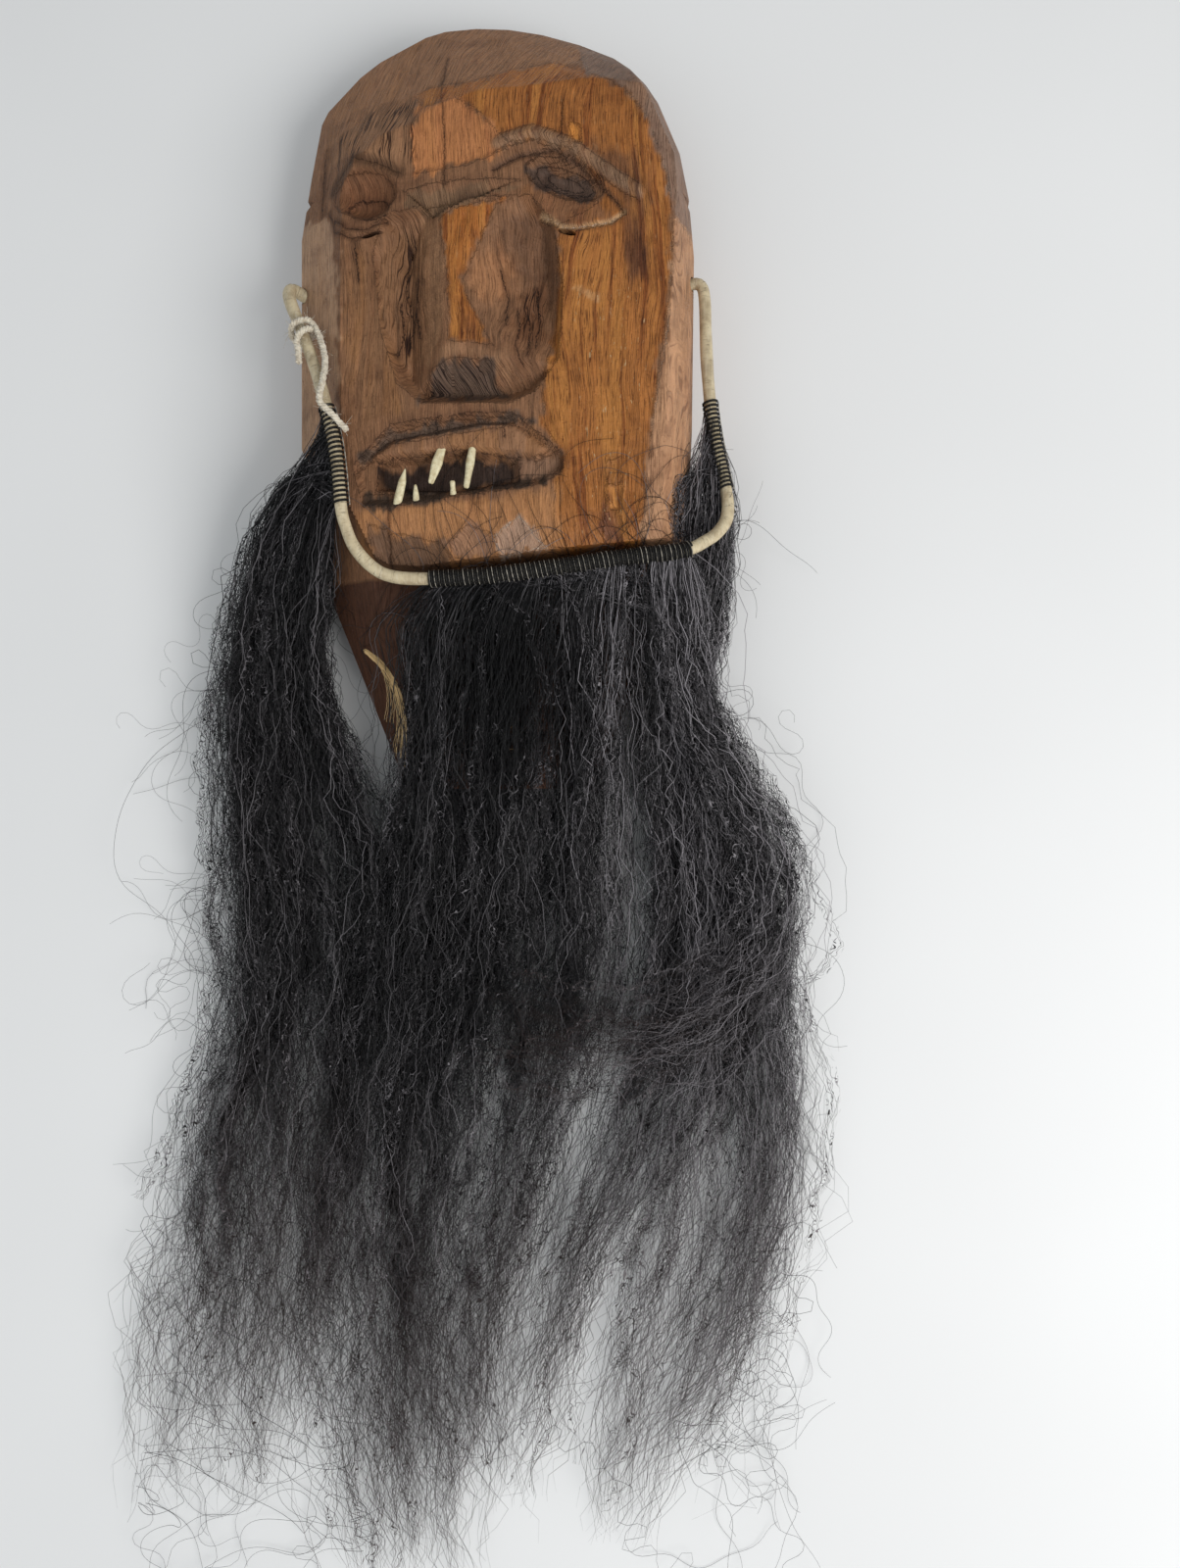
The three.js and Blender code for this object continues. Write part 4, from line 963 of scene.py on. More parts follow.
# The teeth are five whittled bone pegs, pressed into holes in the mouth's edges: two long ones hang
# from the upper lip's edge, and a long one and two stubs stand on the lower ledge.
TOOTH_IN_WOOD = 6.0
TOOTH_HEIGHT = FACE_HEIGHT - 2.2
TOOTH_STEPS = 26
TOOTH_SIDES = 14
TEETH = [
    dict(root=(-40, 27), tip=(-36.5, 41.5), radius=1.9, point=0.3, groove=0.0),
    dict(root=(-32, 28), tip=(-32.3, 35), radius=1.4, point=0.5, groove=0.0),
    dict(root=(-22.8, 46), tip=(-26, 35.4), radius=2.2, point=1.2, groove=0.28),
    dict(root=(-16.6, 30.5), tip=(-17, 36.6), radius=1.4, point=1.1, groove=0.0),
    dict(root=(-9.4, 46), tip=(-11.3, 33.5), radius=1.8, point=1.1, groove=0.0),
]
bone, bone_shader, wire = new_finish("bone", IOR=1.5)
place = object_mm(wire)
stained = place.noise(0.5, 4.0)
colour = stained.step(0.35, 0.75).mix((0.72, 0.64, 0.42, 1), (0.50, 0.40, 0.22, 1))
specks = place.noise(2.4, 3.0)
colour = (specks.step(0.60, 0.70) * 0.6).mix(colour, (0.25, 0.16, 0.08, 1))
connect(bone_shader, colour, "Base Color")
connect(bone_shader, 0.34 + stained * 0.2, "Roughness")
roughen(bone_shader, specks, 0.3, 0.0003)
for number, peg in enumerate(TEETH, 1):
    root = np.array([*peg["root"], TOOTH_HEIGHT])
    tip = np.array([*peg["tip"], TOOTH_HEIGHT + 0.8])
    start = root - unit(tip - root) * TOOTH_IN_WOOD
    path = np.linspace(start, tip, TOOTH_STEPS)
    t = np.linspace(0, 1, TOOTH_STEPS)
    radii = peg["radius"] * np.interp(t, [0, 0.45, 0.75, 1], [0.8, 1, 0.8, peg["point"] / peg["radius"]])
    radii = radii * np.interp(t, [0, 0.96, 1], [1, 1, 0.7])
    radii = radii * (1 + 0.05 * np.sin(9 * t + number))
    tooth = tubes(f"tooth_{number}_peg", path, radii, TOOTH_SIDES)
    shape = in_mm(tooth)
    off = shape - np.repeat(path, TOOTH_SIDES, axis=0)
    shape[:, 2] -= 0.22 * off[:, 2]
    groove = np.exp(-((off[:, 0] - off[:, 2] * 0.1) / (0.4 * peg["radius"])) ** 2)
    shape[:, 2] -= peg["groove"] * 2.4 * groove * (off[:, 2] > 0)
    set_coordinates(tooth, shape)
    tooth.data.materials.append(bone)
    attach(tooth, "root")
    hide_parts(f"tooth_{number}")

# The beard frame is one length of peeled cane 5 mm thick, bent by steam round the chin, with its
# ends pushed into holes in the block's sides. Its skin is crazed across.
ROD_RADIUS = 2.6
ROD_STEPS = 330
ROD_SIDES = 16
cane, cane_shader, wire = new_finish("peeled_cane", IOR=1.45)
place = object_mm(wire)
run = wire.mark("Along")
grime = place.noise(0.12, 4.0, 0.6)
craze = wire.vector(run * 1.5, place.part("X") * 0.25, place.part("Z") * 0.25).noise(1.0, 4.0, 0.7)
skin = wire.vector(run * 0.06, place.part("X") * 0.9, place.part("Z") * 0.9).noise(1.0, 3.0, 0.6)
colour = grime.step(0.35, 0.7).mix((0.60, 0.50, 0.32, 1), (0.36, 0.28, 0.17, 1))
colour = (skin.step(0.45, 0.7) * 0.5).mix(colour, (0.66, 0.58, 0.42, 1))
colour = (craze.step(0.56, 0.70) * 0.75).mix(colour, (0.10, 0.07, 0.045, 1))
connect(cane_shader, colour, "Base Color")
connect(cane_shader, 0.42 + grime * 0.25, "Roughness")
roughen(cane_shader, 1 - craze.step(0.5, 0.7), 0.5, 0.0003)
cane_path = smooth_path(ROD, ROD_STEPS)
cane_length = run_of(cane_path)[-1]
t = np.linspace(0, 1, len(cane_path))
radii = ROD_RADIUS * (1 + 0.035 * np.sin(37 * t) + 0.02 * np.sin(113 * t + 1))
radii[:6] *= np.linspace(0.5, 1, 6)
radii[-6:] *= np.linspace(1, 0.5, 6)
rod = tubes("cane_rod", cane_path[2:-2], radii[2:-2], ROD_SIDES)
rod.data.materials.append(cane)
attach(rod, "root")
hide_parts("beard_frame")

# The lashings are waxed black thread, wound round the cane over the folded roots of the hair, open
# on the two arms so that the cane shows between the turns, and close under the chin.
THREAD = 0.52
STEPS_A_TURN = 14
# Where each lashing starts and ends, as shares of the rod's length, and its pitch.
LASHINGS = {
    "left": (0.194, 0.289, 1.95), "chin": (0.413, 0.667, 1.0), "right": (0.757, 0.848, 1.9)}


def round_rod(share, away, angle):
    """Places round the rod: by a share of its length, a distance from its middle and an angle."""
    at = share * (len(cane_path) - 1)
    heading = sampled(unit(np.gradient(cane_path, axis=0)), at)
    side = unit(np.cross(np.broadcast_to(UP, heading.shape), heading))
    up = np.cross(heading, side)
    return (sampled(cane_path, at) + side * (away * np.cos(angle))[:, None]
            + up * (away * np.sin(angle))[:, None])


thread, thread_shader, wire = new_finish("waxed_thread", IOR=1.5, Specular_IOR_Level=0.2)
place = object_mm(wire)
run = wire.mark("Along")
ply = wire.node("ShaderNodeMath", {0: run * 5.5}, operation="SINE")
fluff = place.noise(3.0, 3.0)
connect(thread_shader, fluff.step(0.45, 0.8).mix((0.006, 0.0055, 0.005, 1), (0.020, 0.018, 0.016, 1)),
        "Base Color")
connect(thread_shader, 0.38 + fluff * 0.3, "Roughness")
roughen(thread_shader, ply * 0.5 + fluff, 0.6, 0.0002)
for name, (start, end, pitch) in LASHINGS.items():
    turns = (end - start) * cane_length / pitch
    count = int(turns * STEPS_A_TURN)
    angle = np.linspace(0, turns * 2 * math.pi, count)
    away = ROD_RADIUS + THREAD * 0.9 + 0.10 * np.sin(angle * 0.37) + 0.05 * np.sin(angle * 1.9)
    coil = round_rod(np.linspace(start, end, count), away, angle)
    lashing = tubes(f"lashing_{name}_thread", coil, THREAD, 6)
    lashing.data.materials.append(thread)
    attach(lashing, "root")
    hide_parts(f"lashing_{name}")

# Pale threads show between the black turns. Single ones lie along the two arms, and under the chin a thin
# one is wound in as a painted glint, thick and thin by turns so that it shows in places.
PALE_PITCH = 2.0
pale, pale_shader, wire = new_finish("pale_thread_and_glint", Roughness=0.7)
grey = object_mm(wire).noise(0.6, 2.0)
connect(pale_shader, grey.step(0.4, 0.65).mix((0.42, 0.38, 0.31, 1), (0.10, 0.09, 0.08, 1)), "Base Color")
for name, angle in (("left", -0.35), ("chin", 0.0), ("right", 3.4)):
    start, end, pitch = LASHINGS[name]
    turns = (end - start) * cane_length / PALE_PITCH if name == "chin" else 0
    count = max(60, int(turns * STEPS_A_TURN))
    turned = angle + np.linspace(0, turns * 2 * math.pi, count)
    # How much of the chin's painted glint shows at each turn.
    uneven = ripple(np.linspace(0, turns * 1.3, count), angle + 0.5, 52)
    thin = 0.17 * np.clip(0.55 + 0.9 * uneven, 0.1, 1)
    line = round_rod(np.linspace(start, end, count), ROD_RADIUS + (1.02 if turns else 1.1), turned)
    rib = tubes(f"lashing_{name}_pale", line, thin if turns else 0.27, 5)
    rib.data.materials.append(pale)
    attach(rib, "root")
    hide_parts(f"lashing_{name}")

# The tie string is soft white cotton of three plies, knotted round the left arm with a slack loop
# and a frayed end. Its points are a share of the rod's length, turns round it and the slack.
STRING = [
    (0.140, 0.46, 1.5), (0.128, 0.40, 0.7), (0.116, 0.33, 0.6), (0.109, 0.15, 0.5),
    (0.105, -0.06, 0.4), (0.104, -0.28, 0.3), (0.102, -0.50, 0.4), (0.098, -0.70, 0.5),
    (0.095, -0.92, 0.5), (0.101, -0.98, 1.5), (0.118, -0.97, 2.2), (0.141, -0.95, 1.9),
    (0.158, -0.9, 1.4), (0.176, -0.80, 1.2), (0.193, -0.72, 1.8), (0.208, -0.82, 1.9),
    (0.221, -0.98, 2.1),
]
STRING_RADIUS = 1.25
PLY_RADIUS = 0.66
PLY_SWING = 0.72
PLY_PITCH = 4.4
STRING_STEPS = 330
FLUFF_HAIRS = 260
cotton, cotton_shader, wire = new_finish("white_cotton", Roughness=0.9, Sheen_Weight=0.35)
place = object_mm(wire)
run = wire.mark("Along")
thread_lines = wire.node("ShaderNodeMath", {0: run * 3.0 + place.part("Z") * 4.0}, operation="SINE")
dust = place.noise(0.5, 4.0)
colour = dust.step(0.35, 0.75).mix((0.72, 0.65, 0.52, 1), (0.50, 0.42, 0.31, 1))
connect(cotton_shader, colour, "Base Color")
roughen(cotton_shader, thread_lines * 0.4 + place.noise(4.0), 0.8, 0.0003)
share, turns, slack = np.array(STRING).T
knots = round_rod(share, ROD_RADIUS + 0.3 + STRING_RADIUS + slack, turns * 2 * math.pi)
middle = smooth_path(knots, STRING_STEPS)
forward = unit(np.gradient(middle, axis=0))
side = unit(np.cross(forward, (0.3, 0.2, 1.0)))
up = np.cross(side, forward)
twist = np.linspace(0, run_of(middle)[-1] / PLY_PITCH * 2 * math.pi, len(middle))
plies = []
for offset in (0, 2 * math.pi / 3, 4 * math.pi / 3):
    swing = PLY_SWING * (1 + 0.12 * np.sin(twist * 0.31 + offset))
    plies.append(middle + side * (swing * np.cos(twist + offset))[:, None]
                 + up * (swing * np.sin(twist + offset))[:, None])
lumps = 1 + 0.16 * np.sin(twist * 1.5) + 0.08 * np.sin(twist * 4.1)
string = tubes("cotton_string", plies, PLY_RADIUS * lumps, 8)
string.data.materials.append(cotton)
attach(string, "root")
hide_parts("tie_string")
rng = np.random.default_rng(51)
start = middle[rng.integers(4, len(middle) - 4, FLUFF_HAIRS)][:, None]
step = np.linspace(0, 1, 7)[None, :, None]
way = rng.normal(0, 1, (FLUFF_HAIRS, 1, 3)) * (1, 1, 0.6)
bend = rng.normal(0, 1, (FLUFF_HAIRS, 1, 3)) * (1, 1, 0.5)
fuzz = start + step * way * 1.7 + step ** 2 * bend * 1.1
fluff = tubes("cotton_fluff", fuzz, 0.06, 3)
fluff.data.materials.append(cotton)
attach(fluff, "root")

# The beard is coarse black animal hair in three hanks, left loose and frizzy. Its roots are folded
# under the lashings, and it spreads over the table in streams that thin out to brown tips. A lock
# is a list of x, y, middle height, half width and half thickness.
LOCKS = {
    "left": [
        [(-74, 50, 50, 3, 5), (-87, 34, 40, 5, 8), (-100, 12, 28, 8, 10), (-111, -26, 18, 9, 12),
         (-115, -67, 14, 10, 12), (-112, -111, 12, 11, 11), (-109, -155, 11, 12, 10),
         (-112, -200, 10, 13, 9), (-120, -244, 9, 15, 8), (-130, -289, 8, 17, 7),
         (-140, -334, 7, 17, 6), (-150, -379, 6, 16, 5), (-157, -429, 5, 13, 4)],
        [(-73, 38, 50, 3, 5), (-83, 12, 34, 8, 10), (-94, -24, 20, 11, 13),
         (-98, -67, 15, 12, 13), (-95, -111, 12, 14, 11), (-89, -155, 11, 17, 10),
         (-90, -200, 10, 18, 9), (-96, -244, 9, 19, 8), (-103, -289, 8, 19, 7),
         (-110, -334, 7, 18, 6), (-116, -379, 6, 16, 5), (-120, -425, 5, 13, 4)],
        [(-70, 30, 48, 2, 4), (-78, -3, 28, 5, 9), (-82, -45, 18, 6, 12), (-72, -89, 15, 11, 12),
         (-62, -133, 13, 15, 11), (-64, -178, 11, 16, 10), (-70, -222, 10, 16, 9),
         (-79, -267, 9, 15, 8), (-86, -312, 8, 14, 7), (-93, -357, 7, 13, 6), (-100, -402, 5, 11, 4)],
    ],
    "chin": [
        [(-22, -3, 48, 12, 4), (-24, -27, 43, 14, 6), (-28, -64, 34, 14, 9),
         (-32, -102, 22, 16, 13), (-38, -146, 16, 18, 13), (-45, -190, 13, 19, 11),
         (-52, -235, 11, 19, 9), (-56, -280, 10, 20, 8), (-56, -324, 9, 20, 7),
         (-58, -369, 8, 17, 6), (-57, -415, 6, 14, 5), (-50, -465, 5, 11, 4)],
        [(6, -2, 48, 16, 4), (4, -31, 44, 18, 6), (1, -68, 38, 19, 9), (-2, -111, 24, 21, 13),
         (-7, -155, 16, 21, 13), (-14, -199, 13, 20, 11), (-23, -244, 11, 19, 9),
         (-32, -289, 10, 18, 8), (-36, -333, 9, 17, 7), (-36, -379, 7, 16, 6),
         (-32, -429, 6, 14, 5), (-25, -470, 5, 12, 4)],
        [(39, 1, 48, 16, 4), (39, -31, 44, 18, 6), (39, -68, 38, 19, 9), (38, -111, 24, 21, 13),
         (36, -155, 16, 21, 13), (30, -199, 13, 19, 11), (21, -244, 11, 16, 9),
         (8, -289, 10, 13, 8), (-5, -333, 9, 12, 7), (-12, -379, 7, 12, 6), (-15, -429, 5, 12, 4)],
        [(68, 4, 47, 14, 4), (70, -26, 40, 16, 7), (73, -63, 28, 17, 10), (78, -102, 18, 19, 13),
         (83, -146, 15, 20, 13), (79, -190, 13, 19, 11), (66, -231, 11, 16, 9),
         (50, -275, 10, 12, 8), (32, -320, 9, 11, 7), (17, -366, 7, 11, 6), (3, -420, 5, 10, 4)],
        [(69, 4, 47, 9, 4), (77, -23, 43, 9, 5), (86, -55, 37, 10, 6), (104, -89, 32, 11, 7),
         (118, -117, 29, 12, 7), (121, -145, 28, 12, 7), (109, -172, 27, 13, 7), (84, -192, 26, 14, 6),
         (50, -203, 24, 15, 6), (12, -206, 22, 16, 6), (-22, -196, 20, 17, 5)],
    ],
    "right": [
        [(91, 63, 35, 3, 4), (95, 38, 32, 5, 7), (95, 14, 28, 6, 9), (89, -20, 22, 5, 10),
         (84, -45, 18, 5, 10), (88, -76, 16, 6, 10), (98, -107, 15, 9, 10),
         (107, -142, 14, 10, 10), (113, -182, 12, 11, 9), (117, -222, 11, 12, 8),
         (116, -266, 10, 12, 8), (106, -311, 9, 12, 7), (89, -356, 8, 11, 6), (70, -393, 6, 10, 5),
         (55, -438, 5, 8, 4)],
        [(95, 52, 32, 3, 5), (98, 14, 26, 3, 7), (96, -19, 20, 3, 8), (90, -45, 17, 3, 8),
         (95, -80, 15, 4, 8), (110, -115, 14, 7, 8), (119, -151, 13, 8, 8),
         (124, -191, 11, 9, 8), (128, -231, 10, 9, 7), (126, -276, 9, 10, 6),
         (115, -320, 8, 10, 6), (98, -366, 7, 9, 5), (78, -416, 5, 8, 4)],
        [(87, 60, 34, 4, 5), (85, 25, 28, 6, 8), (81, -10, 24, 7, 9), (78, -46, 22, 7, 10),
         (84, -89, 18, 9, 11), (93, -133, 16, 11, 10), (97, -177, 13, 12, 9), (93, -222, 11, 12, 8),
         (84, -266, 10, 11, 7), (73, -311, 9, 10, 6), (59, -356, 8, 9, 5), (49, -402, 6, 8, 4),
         (42, -438, 5, 6, 4)],
    ],
}
# Where the roots of each hank are tied, as shares of the rod's length.
ROOTS = {"left": (0.200, 0.286), "chin": (0.416, 0.664), "right": (0.760, 0.845)}
# In a hank tied narrower than this, the roots lie in any order.
NARROW_TIE = 0.2
CURL = LOCKS["chin"][-1]
# Kinds of strand: how many in all, their points, how wavy, how far over the lock's width, how thick,
# how high in the lock, how far gathered into tufts, and the least share of the lock that they reach.
KINDS = {
    "under": dict(count=440, steps=34, frizz=1.0, spread=1.0, thick=1.1, layer=-0.3, gather=0.8,
                  least=0.30),
    "frizzy": dict(count=1330, steps=61, frizz=1.25, spread=1.15, thick=0.85, layer=0.15, gather=1,
                   least=0.79),
    "wild": dict(count=320, steps=61, frizz=2.5, spread=1.9, thick=0.6, layer=0.1, gather=0.7,
                 least=0.70),
}
VEILS = dict(count=200, steps=61, frizz=1.1, spread=1.3, thick=1, layer=0.0, gather=0.45, least=0.48)
VEIL_WIDTHS = (6.0, 12.0)
LOCK_STEPS = 120
SHORT_REACH = (0.36, 0.56)
TIE_LENGTH = 24.0
TUFTS = 16
KINK = 1.1
WAVES = ((96, 3.4), (54, 2.8), (33, 2.1), (20, 1.4))
DRIFTS = (62, 34, 19)
STRAND_RADIUS = 0.15
STRAND_SIDES = 3
MOST_TRIANGLES = 190000
TABLE_GAP = 0.25
X_LIMITS = (-177.0, 158.0)
Y_LIMIT = -482.0
hair, hair_shader, wire = new_finish("black_hair", IOR=1.55, Specular_IOR_Level=0.25)
HAIR_BLACK = (0.004, 0.0038, 0.0044, 1)
HAIR_TIP = (0.075, 0.046, 0.040, 1)


def hair_colour(shader, tone_and_light, light, tip):
    """Black to a light grey, which is a painted sheen, by its tone and painted light, and brown towards
    the tip.
    """
    connect(shader, (tip.step(0.45, 1.0) * 0.6).mix(tone_and_light.mix(HAIR_BLACK, light), HAIR_TIP), "Base Color")


# A strand's tone is random, scaled by painted light and shade. The light grey that it brings is a painted
# sheen.
tone_and_light = wire.mark("Tone")
hair_colour(hair_shader, tone_and_light.step(0.22, 0.95), (0.36, 0.336, 0.354, 1), wire.mark("Tip"))
connect(hair_shader, 0.30 + tone_and_light * 0.2, "Roughness")


def ground(x, y):
    """How high the wood or the table stands under a point."""
    top = np.minimum(carved_height(x, y), bevel_height(x, y))
    block_here = bevel_height(x, y) > SIDE_HEIGHT
    neck = neck_surface(x, y)[2]
    neck_here = (y > -NECK_LENGTH) & (y < NECK_START) & (neck > NECK_EDGE_HEIGHT)
    return np.maximum(np.where(block_here, top, 0), np.where(neck_here, neck, 0))


def lit(paths):
    """How much light reaches the hair: little in the hollow under the chin, more at the right."""
    x, y = paths[..., 0], paths[..., 1]
    under_chin = 0.92 * np.exp(-((x - 8) / 22) ** 2 - ((y + 48) / 34) ** 2)
    under_curl = 0.45 * np.exp(-((x - 25) / 34) ** 2 - ((y + 190) / 34) ** 2)
    open_light = 0.8 + 1.15 * np.clip((x - 10) / 70, 0, 1) + 0.3 * np.clip(-(y + 180) / 120, 0, 1)
    return open_light * (1 - np.maximum(under_chin, under_curl))


def kept_near(paths, margin=0.0):
    """Strands moved back within the beard's spread less a margin, and up from what they lie on."""
    x, y, z = paths[..., 0], paths[..., 1], paths[..., 2]
    run = np.minimum(1, 1.8 * np.linspace(0, 1, paths.shape[1]) ** 0.7)
    low, high = X_LIMITS[0] + margin, X_LIMITS[1] - margin
    out = np.minimum(x.min(1) - low, 0) + np.maximum(x.max(1) - high, 0)
    x = np.clip(x - out[:, None] * run, X_LIMITS[0] - 2, X_LIMITS[1] + 2)
    y = y - np.minimum(y.min(1) - Y_LIMIT - margin, 0)[:, None] * run ** 2
    return np.stack([x, y, np.maximum(z, ground(x, y) + TABLE_GAP)], -1)


def grown(lock, roots, count, rng, kind, short):
    """The paths of a lock's strands: spread over its width, gathered to clumps and frizzed."""
    stations = smooth_path(lock, LOCK_STEPS)
    reach = np.where(rng.random(count) < short, rng.uniform(*SHORT_REACH, count),
                     kind["least"] + (1 - kind["least"]) * rng.beta(1.6, 1.2, count))
    t = np.linspace(0, 1, kind["steps"])[None] * reach[:, None]
    at = t * (len(stations) - 1)
    here = sampled(stations, at)
    half_width, half_thick = here[..., 3] * (1 + 0.15 * np.clip(t * 2 - 0.8, 0, 1)), here[..., 4]
    heading = sampled(unit(np.gradient(stations[:, :3], axis=0)), at)
    across = unit(np.stack([-heading[..., 1], heading[..., 0], np.zeros_like(t)], -1))
    distance = t * run_of(stations)[-1]
    centres = np.linspace(-0.95, 0.95, TUFTS)[:, None] + rng.normal(0, 0.12, (TUFTS, 1))
    mine = rng.integers(0, TUFTS, count)
    swing = rng.normal(0, 0.20, (TUFTS, 3))[mine]
    turn = rng.uniform(0, 6.28, (TUFTS, 3))[mine]
    drift = sum(swing[:, i:i + 1] * np.sin(distance / wave + turn[:, i:i + 1])
                for i, wave in enumerate(DRIFTS))
    gather = np.clip((t - 0.06) / 0.4, 0, 1) * rng.beta(1.4, 2.0, (count, 1)) * kind["gather"]
    loose = np.clip(rng.normal(0, 0.70, (count, 1)), -1.8, 1.8)
    u = (loose * (1 - gather) + centres[mine] * gather) * kind["spread"] + drift
    u = u + np.clip(rng.normal(0, 0.45, (count, 1)), -0.9, 0.9) * t
    u = u * np.interp(t, [0, 0.12, 0.26, 0.42], [0.8, 0.62, 0.68, 1.0])
    strength = kind["frizz"] * rng.lognormal(0, 0.4, (count, 1)) * (0.45 + 0.8 * t)
    sway, lift = np.zeros_like(t), np.zeros_like(t)
    for wave, size in WAVES:
        for moved, share in ((sway, 1.0), (lift, 0.55)):
            bend = wave * rng.uniform(0.75, 1.35, (count, 1))
            swell = 0.7 + 0.5 * np.sin(distance / bend * 1.3 + rng.uniform(0, 6.28, (count, 1)))
            moved += share * size * swell * np.sin(
                distance / bend * 6.28 + rng.uniform(0, 6.28, (count, 1)))
    strand = here[..., :3] + across * (u * half_width + sway * strength * 0.62)[..., None]
    layer = np.clip(rng.normal(0.05, 0.5, (count, 1)), -0.95, 1.05)
    strand[..., 2] += (layer + kind["layer"]) * half_thick + lift * strength * 0.45
    kink = KINK * np.minimum(1, t * 6)
    strand = strand + rng.normal(0, 1, strand.shape) * kink[..., None]
    if roots[1] - roots[0] < NARROW_TIE:
        return strand, t, rng.uniform(*roots, count), distance
    middle = (roots[0] + roots[1]) / 2
    return strand, t, np.clip(middle + u[:, 0] * 0.36 * (roots[1] - roots[0]), *roots), distance


def rooted(strand, share, distance, rng):
    """Strands led back to where they are tied to the rod."""
    root = round_rod(share, ROD_RADIUS - 0.3, rng.uniform(0, 2 * math.pi, len(share)))
    blend = np.clip(distance / TIE_LENGTH, 0, 1)[..., None]
    blend = blend * blend * (3 - 2 * blend)
    return root[:, None] * (1 - blend) + strand * blend


def hair_pieces(name, paths, radii, marks, node):
    """Strands split into pieces of no more than MOST_TRIANGLES triangles each. Strands
    as pieces small enough for the library.
    """
    most = MOST_TRIANGLES // ((paths.shape[1] - 1) * STRAND_SIDES * 2 + 2)
    for number, first in enumerate(range(0, len(paths), most), 1):
        chosen = slice(first, first + most)
        piece = tubes(f"{name}_{number}", paths[chosen], radii[chosen], STRAND_SIDES,
                      {title: values[chosen] for title, values in marks.items()})
        piece.data.materials.append(hair)
        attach(piece, "root")
        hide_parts(node)


def hair_lines(across, along, tip, seed, spacing, radius):
    """Fine crimped hairs drawn on a veil: where they are, how round, and how light each one is."""
    slow = across.vector(along * 0.04 + seed * 3.1, across * 0.08, seed).noise(1.0, 1.0)
    crimp = across.vector(along * 0.26 + seed * 1.7, across * 0.22, seed + 9).noise(1.0, 1.0)
    line = (across + (slow - 0.5) * 11 + (crimp - 0.5) * 6.0) / spacing
    number = line.math("FLOOR", line)
    off = (line - number - 0.5).math("ABSOLUTE", line - number - 0.5) * (spacing / radius)
    chance = across.vector(number * 3.7, along * 0.010, seed + 4).noise(1.0, 1.0)
    light = across.vector(number * 5.3, along * 0.03, seed + 21).noise(1.0, 0.0)
    drawn = (1.0 - off.step(0.75, 1.2)) * (chance - tip * 0.22).step(0.36, 0.40)
    return drawn, 1.0 - off * off, light


veil, veil_shader, wire = new_finish("hair_veil", IOR=1.55, Specular_IOR_Level=0.2)
across, along, edge, tip, lightness = (
    wire.mark(title) for title in ("Across", "Run", "Edge", "Tip", "Light"))
drawn, swell, light = hair_lines(across, along, tip, 1.0, 0.95, 0.12)
drawn_2, swell_2, light_2 = hair_lines(across, along, tip, 6.0, 1.25, 0.11)
over = drawn_2.step(0.3, 0.7)
# Each veil hair's tone is random, times the painted light and shade stored as Light. Its grey is a painted
# sheen.
tone_and_light = (light * (1.0 - over) + light_2 * over).step(0.47, 0.66) * lightness
hair_colour(veil_shader, tone_and_light, (0.21, 0.195, 0.205, 1), tip)
connect(veil_shader, 0.30 + tone_and_light * 0.2, "Roughness")
connect(veil_shader, drawn.math("MAXIMUM", drawn, drawn_2) * (1.0 - edge.step(0.72, 0.98)), "Alpha")
roughen(veil_shader, swell * (1.0 - over) + swell_2 * over, 1.0, 0.0002)


def veils(name, paths, widths, rolls, tips):
    """Narrow sheets along paths, a little arched, with their places stored on their points."""
    count, steps = paths.shape[:2]
    forward = unit(np.gradient(paths, axis=1))
    side = unit(np.cross(np.broadcast_to(UP, forward.shape), forward))
    up = np.cross(forward, side)
    side = side * np.cos(rolls)[..., None] + up * np.sin(rolls)[..., None]
    row = np.array([-1.0, 0.0, 1.0])
    points = paths[:, :, None] + side[:, :, None] * (row[None, None, :] * widths[..., None] / 2)[..., None]
    points[:, :, 1, 2] += widths * 0.10
    points = kept_near(points.reshape(count, steps * 3, 3)).reshape(points.shape)
    base = (np.arange(count) * steps * 3)[:, None, None]
    k, j = np.arange(steps - 1)[None, :, None], np.arange(2)[None, None, :]
    here = base + k * 3 + j
    faces = np.stack(np.broadcast_arrays(here, here + 1, here + 4, here + 3), -1).reshape(-1, 4)
    mesh = bpy.data.meshes.new(name)
    mesh.from_pydata(placed(points.reshape(-1, 3)).tolist(), [], faces.tolist())
    mesh.polygons.foreach_set("use_smooth", np.ones(len(faces), bool))
    offset = np.arange(count)[:, None, None] * 61.7
    for title, values in (("Across", offset + row * widths[..., None] / 2),
                          ("Run", run_of(paths)[..., None] + offset * 1.9),
                          ("Edge", np.abs(row)), ("Tip", tips[..., None]), ("Light", lit(points))):
        store(mesh, title, np.broadcast_to(values, (count, steps, 3)))
    return linked(name, mesh)


def share_of(lock):
    """A lock's share of all the beard's strands, by its widths."""
    return sum(station[3] for station in lock) / all_width


all_width = sum(station[3] for locks in LOCKS.values() for lock in locks for station in lock)
HANK_SEEDS = {"left": 61, "chin": 62, "right": 63}
